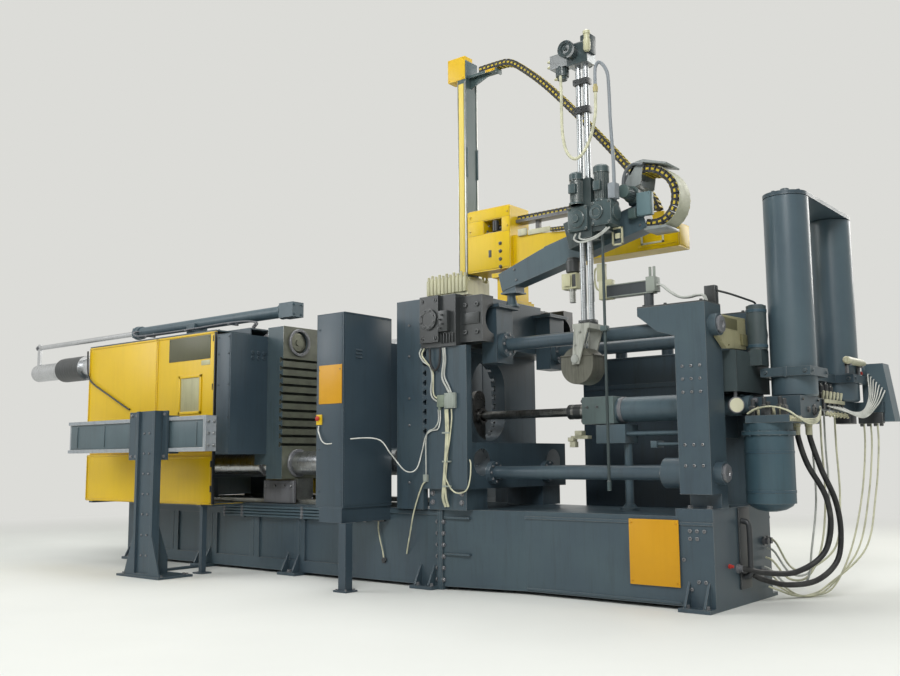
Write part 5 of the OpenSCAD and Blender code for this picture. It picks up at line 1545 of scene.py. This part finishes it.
drive.block((2.44, -0.985, 4.2), (2.71, -0.77, 4.5), 0.035)
drive.turned(
    (2.52, -0.985, 4.36), NEAR, [(0, 0.085), (0.016, 0.085), (0.02, 0.078), (0.02, 0.05), (0.01, 0.045)], 32,
)
drive.turned((2.71, -0.88, 4.35), FORE, [(0, 0.09), (0.02, 0.09), (0.024, 0.07)], 28)
drive.hex_bolts((2.175, 2.4), -1.02, (4.19, 4.44), NEAR, 0.026)
drive.hex_bolts((2.47, 2.68), -0.985, (4.23, 4.47), NEAR, 0.024)
for x in (2.26, 2.36):
    drive.turned((x, -0.87, 4.78), UP, [(0, 0.052), (0.03, 0.052), (0.036, 0.0365)], 28)
    drive.turned((x, -0.87, 4.09), DOWN, [(0, 0.05), (0.014, 0.05), (0.018, 0.0365)], 28)
drive.bar((2.56, -0.93, 1.23), (2.56, -0.93, 1.34), 0.024)
drive.block((2.52, -0.975, 3.0), (2.6, -0.9, 3.06), 0.006)
drive.made(
    "ladler_drive", painted("drive_grey", "3a494c", "495959", bare="a9aaa6", wear=0.9, grease=0.6),
    "ladler_carriage", "black_steel",
)
# bent air pipe, its yellow union, and the pale sensor frame under the gearbox
air_pipe = Shape()
air_pipe.tube(curve_points([
    (2.52, -0.93, 5.87), (2.52, -0.93, 6.0), (2.53, -0.93, 6.1), (2.575, -0.93, 6.145), (2.64, -0.93, 6.08),
    (2.685, -0.93, 5.97), (2.697, -0.93, 5.8), (2.7, -0.92, 5.4), (2.71, -0.9, 4.95), (2.7, -0.88, 4.6),
    (2.685, -0.86, 4.49),
], 8), 0.02, 14)
air_pipe.turned((2.685, -0.86, 4.49), UP, [(0, 0.036), (0.05, 0.036), (0.054, 0.026)], 6)
air_pipe.block((2.66, -0.96, 4.5), (2.75, -0.85, 4.68), 0.006)
air_pipe.made(
    "ladler_air_pipe", painted("pipe_grey", "7b8288", "8b9196", wear=0.6, edge=0.003), "ladler_carriage",
    "bare_steel",
)
union = Shape()
union.turned(
    (2.52, -0.93, 5.8), UP, [(0, 0.03), (0.03, 0.034), (0.06, 0.034), (0.064, 0.026), (0.09, 0.026)], 6,
)
union = union.made(
    "hose_union", painted("union_yellow", "b9ad7c", "a89d70", wear=0.5), "ladler_carriage", "bare_steel",
)
frame_plate = Shape()
frame_plate.rim((2.6, 2.74), (-0.79, -0.77), (3.99, 4.2), 0.02, 0.003)
frame_plate.block((2.64, -0.785, 4.07), (2.7, -0.76, 4.13), 0.003)
frame_plate.made("sensor_frame", cream_paint, "ladler_carriage", "cream_parts")

# hoses of the lift: two short grey ones below the gearboxes, and the cream loop to the top drive
for i, run in enumerate((
    [
        (2.31, -1.0, 4.145), (2.32, -1.03, 4.08), (2.4, -1.04, 4.05), (2.5, -1.04, 4.06), (2.6, -1.03, 4.1),
        (2.635, -0.96, 4.17),
    ],
    [
        (2.25, -1.0, 4.145), (2.26, -1.05, 4.07), (2.36, -1.07, 4.02), (2.5, -1.07, 4.03),
        (2.61, -1.04, 4.08), (2.665, -0.95, 4.17),
    ],
)):
    cable(f"lift_hose_{i + 1}", curve_points(run), 0.022, grey_sheath, "ladler_carriage")
loop_path = curve_points([
    (2.04, -0.91, 6.2), (2.05, -0.93, 6.1), (2.08, -0.97, 5.9), (2.11, -1.02, 5.65), (2.15, -1.07, 5.33),
    (2.22, -1.1, 5.1), (2.34, -1.12, 4.99), (2.45, -1.1, 5.06), (2.525, -1.06, 5.25), (2.55, -1.0, 5.5),
    (2.53, -0.95, 5.7), (2.52, -0.93, 5.8),
])
lift_loop = Shape()
lift_loop.tube(loop_path, 0.018, 14)
lift_loop = lift_loop.made("lift_loop", cream_hose, None, "cream_parts")
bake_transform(lift_loop)

# travel drive at the girder's end: ribbed motor, pale cabinet, conduits and the looped chain
travel = Shape()
for k in range(20):
    a = 2 * math.pi * k / 20
    start = on_girder(2.04 + 0.076 * math.cos(a), -0.27, 0.45 + 0.076 * math.sin(a))
    travel.bar(start, start + Vector((0, 0.16, 0)), 0.005, 0.001, 6)
travel.turned(on_girder(2.04, -0.285, 0.45), NEAR, [(-0.005, 0.08), (0.03, 0.078), (0.036, 0.06)], 28)
travel.turned(on_girder(2.04, -0.1, 0.45), NEAR, [(0, 0.1), (0.02, 0.1), (0.024, 0.085)], 28)
travel.block((2.72, -0.62, 4.32), (2.82, -0.55, 4.44), 0.01)
travel.made("travel_motor_ribs", painted("motor_grey", "485958", "536563", wear=0.8))
cabinet = Shape()
cabinet.block((2.84, -0.63, 4.33), (3.02, -0.55, 4.6), 0.008)
cabinet.cap_screws((2.86, 3.0), -0.63, (4.35, 4.58), NEAR, 0.012)
cabinet.made("travel_cabinet", painted("cabinet_blue", "60787e", "6a8185", wear=0.4, edge=0.003))
conduits = Shape()
for k in range(3):
    d = 0.045 * k
    conduits.tube(curve_points([
        (2.9, -0.56 + d, 4.94), (2.78, -0.57 + d, 4.965 - d), (2.69, -0.575 + d, 4.9 - d),
        (2.655, -0.58 + d, 4.78), (2.66, -0.58 + d, 4.6),
    ], 8), 0.02, 12)
conduits.made(
    "travel_conduits", painted("conduit_grey", "545a5e", "666b6e", wear=0.3, edge=0.003), slot="black_steel",
)
chain_beige = sheathing("chain_beige", "b5b6a0", "9b9c86", 6.0)
loop = curve_points([(x, -0.375, z) for x, z in (
    (2.84, 4.9), (2.956, 4.89), (3.06, 4.855), (3.15, 4.79), (3.22, 4.71), (3.26, 4.62), (3.272, 4.5),
    (3.235, 4.37), (3.14, 4.275), (3.02, 4.245), (2.9, 4.26),
)], 8)
energy_chain("girder_chain", loop, 0.31, 0.085, "frame", 0.8)
wrap = Shape()
centre = Vector((2.95, -0.375, 4.56))
for a, b in zip(loop[16:-8], loop[17:-7]):
    p, q = (s + (s - centre).normalized() * 0.045 for s in (a, b))
    out = (a - centre).normalized() * 0.006
    corners = product((p, q), (-0.135, 0.135), (0 * out, out))
    wrap.close_box([wrap.bm.verts.new(s + Vector((0, y, 0)) + w) for s, y, w in corners])
wrap.made("girder_chain_cover", chain_beige, slot="chain_plastic")
holder = Shape()
holder.plate([
    (2.7, 4.86), (2.8, 5.0), (2.9, 5.01), (3.19, 4.92), (3.18, 4.9), (2.9, 4.975), (2.82, 4.965),
    (2.73, 4.85),
], "y", -0.55, -0.2, 0.003)
holder.plate([(2.6, 4.66), (2.86, 4.72), (2.9, 4.97), (2.78, 4.99)], "y", -0.55, -0.535, 0.003)
holder.plate([(2.6, 4.66), (2.86, 4.72), (2.9, 4.97), (2.78, 4.99)], "y", -0.215, -0.2, 0.003)
holder.block((2.74, -0.54, 4.7), (2.8, -0.2, 4.74), 0.003)
holder.plate(
    [(2.88, 4.17), (3.16, 4.17), (3.16, 4.2), (2.96, 4.215), (2.88, 4.215)], "y", -0.54, -0.21, 0.003,
)
holder.made("chain_holder", painted("holder_grey", "858c8c", "949a99", wear=0.5))

# the lifting bars' top drive: dark worm gear, brake disc, upright motor and cream encoder
top_drive = Shape()
top_drive.turned(
    (2.2, -1.04, 6.37), NEAR,
    [(-0.06, 0.1), (0.02, 0.105), (0.026, 0.1), (0.026, 0.06), (0.012, 0.055), (0.012, 0.03), (0.04, 0.026)],
    40,
)
for at in circle((2.2, -1.066, 6.37), 0.084, "xz", 8):
    top_drive.cap_screw(at, NEAR, 0.016)
top_drive.turned((2.25, -0.78, 6.33), FAR, [(0, 0.08), (0.1, 0.08), (0.12, 0.065), (0.2, 0.06)], 28)
top_drive.block((2.34, -0.95, 6.3), (2.47, -0.8, 6.53), 0.015)
top_drive.block((2.05, -0.95, 6.42), (2.2, -0.82, 6.5), 0.015)
top_drive.turned(
    (2.04, -0.87, 6.24), DOWN, [(0, 0.07), (0.04, 0.078), (0.12, 0.078), (0.13, 0.06), (0.16, 0.055)], 28,
)
for at in circle((2.04, -0.87, 6.13), 0.076, "xy", 18):
    top_drive.bar(at, (at.x, at.y, 6.22), 0.005, 0.001, 6)
top_drive.hex_bolts((2.19, 2.41), (-0.93, -0.81), 6.45, UP, 0.028)
top_drive.block((2.16, -0.965, 6.19), (2.44, -0.955, 6.44), 0.003)
top_drive.made(
    "top_drive", painted("top_drive_grey", "2d3a3e", "3a4849", wear=0.9, grease=0.5), "ladler_column",
    "black_steel",
)
encoder = Shape()
encoder.turned((2.45, -0.98, 6.3), UP, [
    (0, 0.03), (0.02, 0.042), (0.14, 0.042), (0.145, 0.034), (0.2, 0.034), (0.205, 0.044), (0.24, 0.044),
    (0.25, 0.03),
], 24)
encoder.block((2.42, -0.99, 6.36), (2.48, -0.94, 6.42), 0.005)
for x, z in ((1.905, 6.34), (1.905, 6.27), (2.0, 6.1)):
    encoder.turned((x, -0.9, z), AFT, [(0, 0.02), (0.03, 0.02), (0.034, 0.014), (0.05, 0.014)], 10)
encoder.turned((2.04, -0.91, 6.23), DOWN, [(0, 0.03), (0.05, 0.03), (0.055, 0.022)], 6)
encoder.made("top_drive_fittings", cream_paint, "ladler_column", "cream_parts")
clamp_rings = Shape()
for z, tall in ((5.95, 0.07), (5.6, 0.08), (3.1, 0.055)):
    clamp_rings.block((2.21, -0.925, z), (2.41, -0.815, z + tall), 0.006)
    clamp_rings.hex_bolts((2.24, 2.31, 2.38), -0.925, z + tall / 2, NEAR, 0.02)
clamp_rings.made("guide_clamps", black_oxide, "ladler_column", "black_steel")
fork = Shape()
for y, s in ((-1.045, -1), (-0.695, 1)):
    fork.turned((2.228, y, 2.7), (0, s, 0), [(0, 0.05), (0.008, 0.05), (0.012, 0.04), (0.014, 0.02)], 28)
    for x, z in ((2.3, 3.0), (2.24, 2.86)):
        fork.hex_bolt((x, y, z), (0, s, 0), 0.022, washer=False)
fork.tube(
    curve_points([(2.36, -0.96, 3.06), (2.38, -0.98, 2.98), (2.33, -0.975, 2.85), (2.3, -0.96, 2.76)], 6),
    0.01, 8,
)
fork.made(
    "fork_details", painted("fork_trim", "9a9d98", "82857f", bare="5f5e58", wear=1.0, grease=0.8),
    "ladler_column", "cream_parts",
)
lip = Shape()
rim = [
    (2.016, -1.005, 2.74), (2.44, -1.005, 2.74), (2.44, -0.735, 2.74), (2.016, -0.735, 2.74),
    (2.016, -1.005, 2.74),
]
for a, b in zip(rim, rim[1:]):
    lip.bar(a, b, 0.012, 0.004, 10)
spout = [(2.016, -0.95, 2.70), (2.016, -0.79, 2.70), (1.965, -0.83, 2.745), (1.965, -0.91, 2.745)]
front = [lip.bm.verts.new(p) for p in spout]
back = [lip.bm.verts.new((p[0] + 0.004, p[1], p[2] + 0.016)) for p in spout]
lip.bm.faces.new(front[::-1])
lip.bm.faces.new(back)
for k in range(4):
    lip.bm.faces.new((front[k], front[(k + 1) % 4], back[(k + 1) % 4], back[k]))
lip.made("ladle_rim", node["ladle"].data.materials[0], "ladle", "black_steel")

# cable arm: flanges, end box with stub pipes, cream relay boxes; lamp-like sensor under the girder
arm_trim = Shape()
for z in (3.417, 3.553):
    arm_trim.block((2.46, -0.69, z), (3.04, -0.57, z + 0.012), 0.002)
arm_trim.block((2.96, -0.7, 3.43), (3.07, -0.56, 3.6), 0.006)
for x in (2.985, 3.035):
    arm_trim.bar((x, -0.63, 3.6), (x, -0.63, 3.72), 0.016)
arm_trim.turned((2.96, -0.63, 3.24), UP, [(0, 0.09), (0.015, 0.09), (0.018, 0.056)], 28)
arm_trim.made("cable_arm_trim", painted("arm_trim", "7f867e", "90968e", wear=0.6))
relay = Shape()
relay.block((2.31, -0.655, 3.63), (2.4, -0.57, 3.84), 0.008)
relay.block((2.33, -0.655, 3.41), (2.5, -0.56, 3.64), 0.01)
relay.turned((2.45, -0.655, 3.5), NEAR, [(0, 0.03), (0.006, 0.03), (0.008, 0.02)], 16)
relay.tube(curve_points(
    [(2.33, -0.62, 3.8), (2.28, -0.63, 3.78), (2.265, -0.63, 3.68), (2.29, -0.63, 3.56), (2.34, -0.62, 3.52)],
    6,
), 0.012, 10)
relay.block((1.79, -0.6, 3.6), (2.0, -0.48, 3.79), 0.008)
relay.block((1.84, -0.63, 3.63), (1.93, -0.6, 3.76), 0.006)
relay.made("relay_boxes", cream_paint, slot="cream_parts")
sensor = Shape()
sensor.turned(
    (1.92, -0.54, 3.79), UP, [(0, 0.06), (0.02, 0.085), (0.15, 0.085), (0.16, 0.07), (0.19, 0.07)], 28,
)
sensor.block((1.94, -0.605, 3.62), (1.99, -0.598, 3.77), 0.002)
sensor.made("girder_sensor", black_oxide, slot="black_steel")
probe = Shape()
probe.turned(
    (1.91, -0.54, 3.6), DOWN, [(0, 0.045), (0.02, 0.045), (0.024, 0.038), (0.16, 0.038), (0.165, 0.03)], 24,
)
probe.made("girder_sensor_tube", ground_steel, slot="bare_steel")
post = Shape()
post.hex_bolts((0.76, 0.95), (-0.75, -0.4), 3.5, UP, 0.034)
post.turned((0.93, -0.43, 3.5), UP, [(0, 0.1), (0.02, 0.1), (0.024, 0.056)], 32)
for way in (-1, 1):
    post.plate(
        [(0.93 + way * 0.055, 3.5), (0.93 + way * 0.1, 3.5), (0.93 + way * 0.055, 3.62)], "y", -0.44, -0.42,
    )
post.made("girder_post_details", girder_blue)

# ---------------------------------------------------------------- floor and light
# A plain pale studio floor that runs up into a backdrop, large soft area lamps and an even world.

BACKDROP = "dcdcd8"
FLOOR_X, FLOOR_FRONT, FLOOR_BACK = (-95, 60), -60, 26
BACKDROP_CURVE, BACKDROP_TOP = 8, 60


def direct_rays(tree):
    """1 for what the camera sees straight on, in a mirror or through glass"""
    seen = add(tree, "ShaderNodeLightPath")
    share = seen.outputs["Is Camera Ray"]
    for kind in ("Is Glossy Ray", "Is Transmission Ray"):
        share = add(tree, "ShaderNodeMath", {0: share, 1: seen.outputs[kind]}, operation="MAXIMUM").outputs[0]
    return share


floor_mat, tree, shader = material("studio_floor", roughness=0.65)
place = add(tree, "ShaderNodeTexCoord").outputs["Object"]
grain = add(tree, "ShaderNodeTexNoise", {"Vector": place, "Scale": 0.7, "Detail": 4.0})
tree.links.new(
    mix(tree, grain.outputs["Fac"], hex_colour("dcddd8"), hex_colour("e4e5e0")), shader.inputs["Base Color"],
)
distance = add(tree, "ShaderNodeVectorMath", {0: place, 1: (-2.5, 0.5, 0.0)}, operation="DISTANCE")
away = add(
    tree, "ShaderNodeMapRange", {"Value": distance.outputs["Value"], "From Min": 8.0, "From Max": 17.0},
    interpolation_type="SMOOTHSTEP",
)
share = add(tree, "ShaderNodeMath", {0: direct_rays(tree), 1: away.outputs["Result"]}, operation="MULTIPLY")
paper = add(tree, "ShaderNodeEmission", {"Color": hex_colour(BACKDROP), "Strength": 1.0})
blended = add(tree, "ShaderNodeMixShader", {0: share.outputs[0], 1: shader.outputs[0], 2: paper.outputs[0]})
tree.links.new(blended.outputs[0], tree.nodes["Material Output"].inputs["Surface"])
floor_mesh = bpy.data.meshes.new("studio_floor")
floor_bm = bmesh.new()
profile = [(FLOOR_FRONT, 0.0), (FLOOR_BACK, 0.0)]
for k in range(1, 13):
    a = math.pi / 2 * k / 12
    profile.append((FLOOR_BACK + BACKDROP_CURVE * math.sin(a), BACKDROP_CURVE - BACKDROP_CURVE * math.cos(a)))
profile.append((FLOOR_BACK + BACKDROP_CURVE, BACKDROP_TOP))
rows = [[floor_bm.verts.new((x, y, z - 0.001)) for x in FLOOR_X] for y, z in profile]
for a, b in zip(rows, rows[1:]):
    floor_bm.faces.new((a[0], a[1], b[1], b[0]))
floor_bm.to_mesh(floor_mesh)
floor_bm.free()
floor_mesh.shade_smooth()
floor_mesh.materials.append(floor_mat)
studio_floor = bpy.data.objects.new("studio_floor", floor_mesh)
bpy.context.scene.collection.objects.link(studio_floor)
studio_floor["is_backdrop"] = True


def lamp(name, at, towards, size, watts, tint=(1, 1, 1)):
    light = bpy.data.lights.new(name, "AREA")
    light.shape, light.size, light.energy, light.color = "DISK", size, watts, tint
    held = bpy.data.objects.new(name, light)
    bpy.context.scene.collection.objects.link(held)
    held.location = at
    held.rotation_mode = "QUATERNION"
    held.rotation_quaternion = (Vector(towards) - Vector(at)).to_track_quat("-Z", "Y")


lamp("key", (9, -14, 13), (-1, 0, 2), 8, 2000)
lamp("fill", (-13, -12, 9), (-3, 0, 2), 10, 950, (0.97, 0.99, 1))
lamp("overhead", (-2, 2, 15), (-2, 0, 0), 12, 1200)
lamp("back", (6, 12, 9), (0, 0, 3), 8, 700, (1, 0.98, 0.94))
world = bpy.data.worlds.new("studio")
bpy.context.scene.world = world
world.use_nodes = True
tree = world.node_tree
around = tree.nodes["Background"]
around.inputs["Color"].default_value = (0.87, 0.9, 0.88, 1)
around.inputs["Strength"].default_value = 0.42
paper = add(tree, "ShaderNodeBackground", {"Color": hex_colour(BACKDROP), "Strength": 1.0})
blended = add(tree, "ShaderNodeMixShader", {0: direct_rays(tree), 1: around.outputs[0], 2: paper.outputs[0]})
tree.links.new(blended.outputs[0], tree.nodes["World Output"].inputs["Surface"])
bpy.context.scene.view_settings.view_transform = "Standard"

low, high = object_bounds()
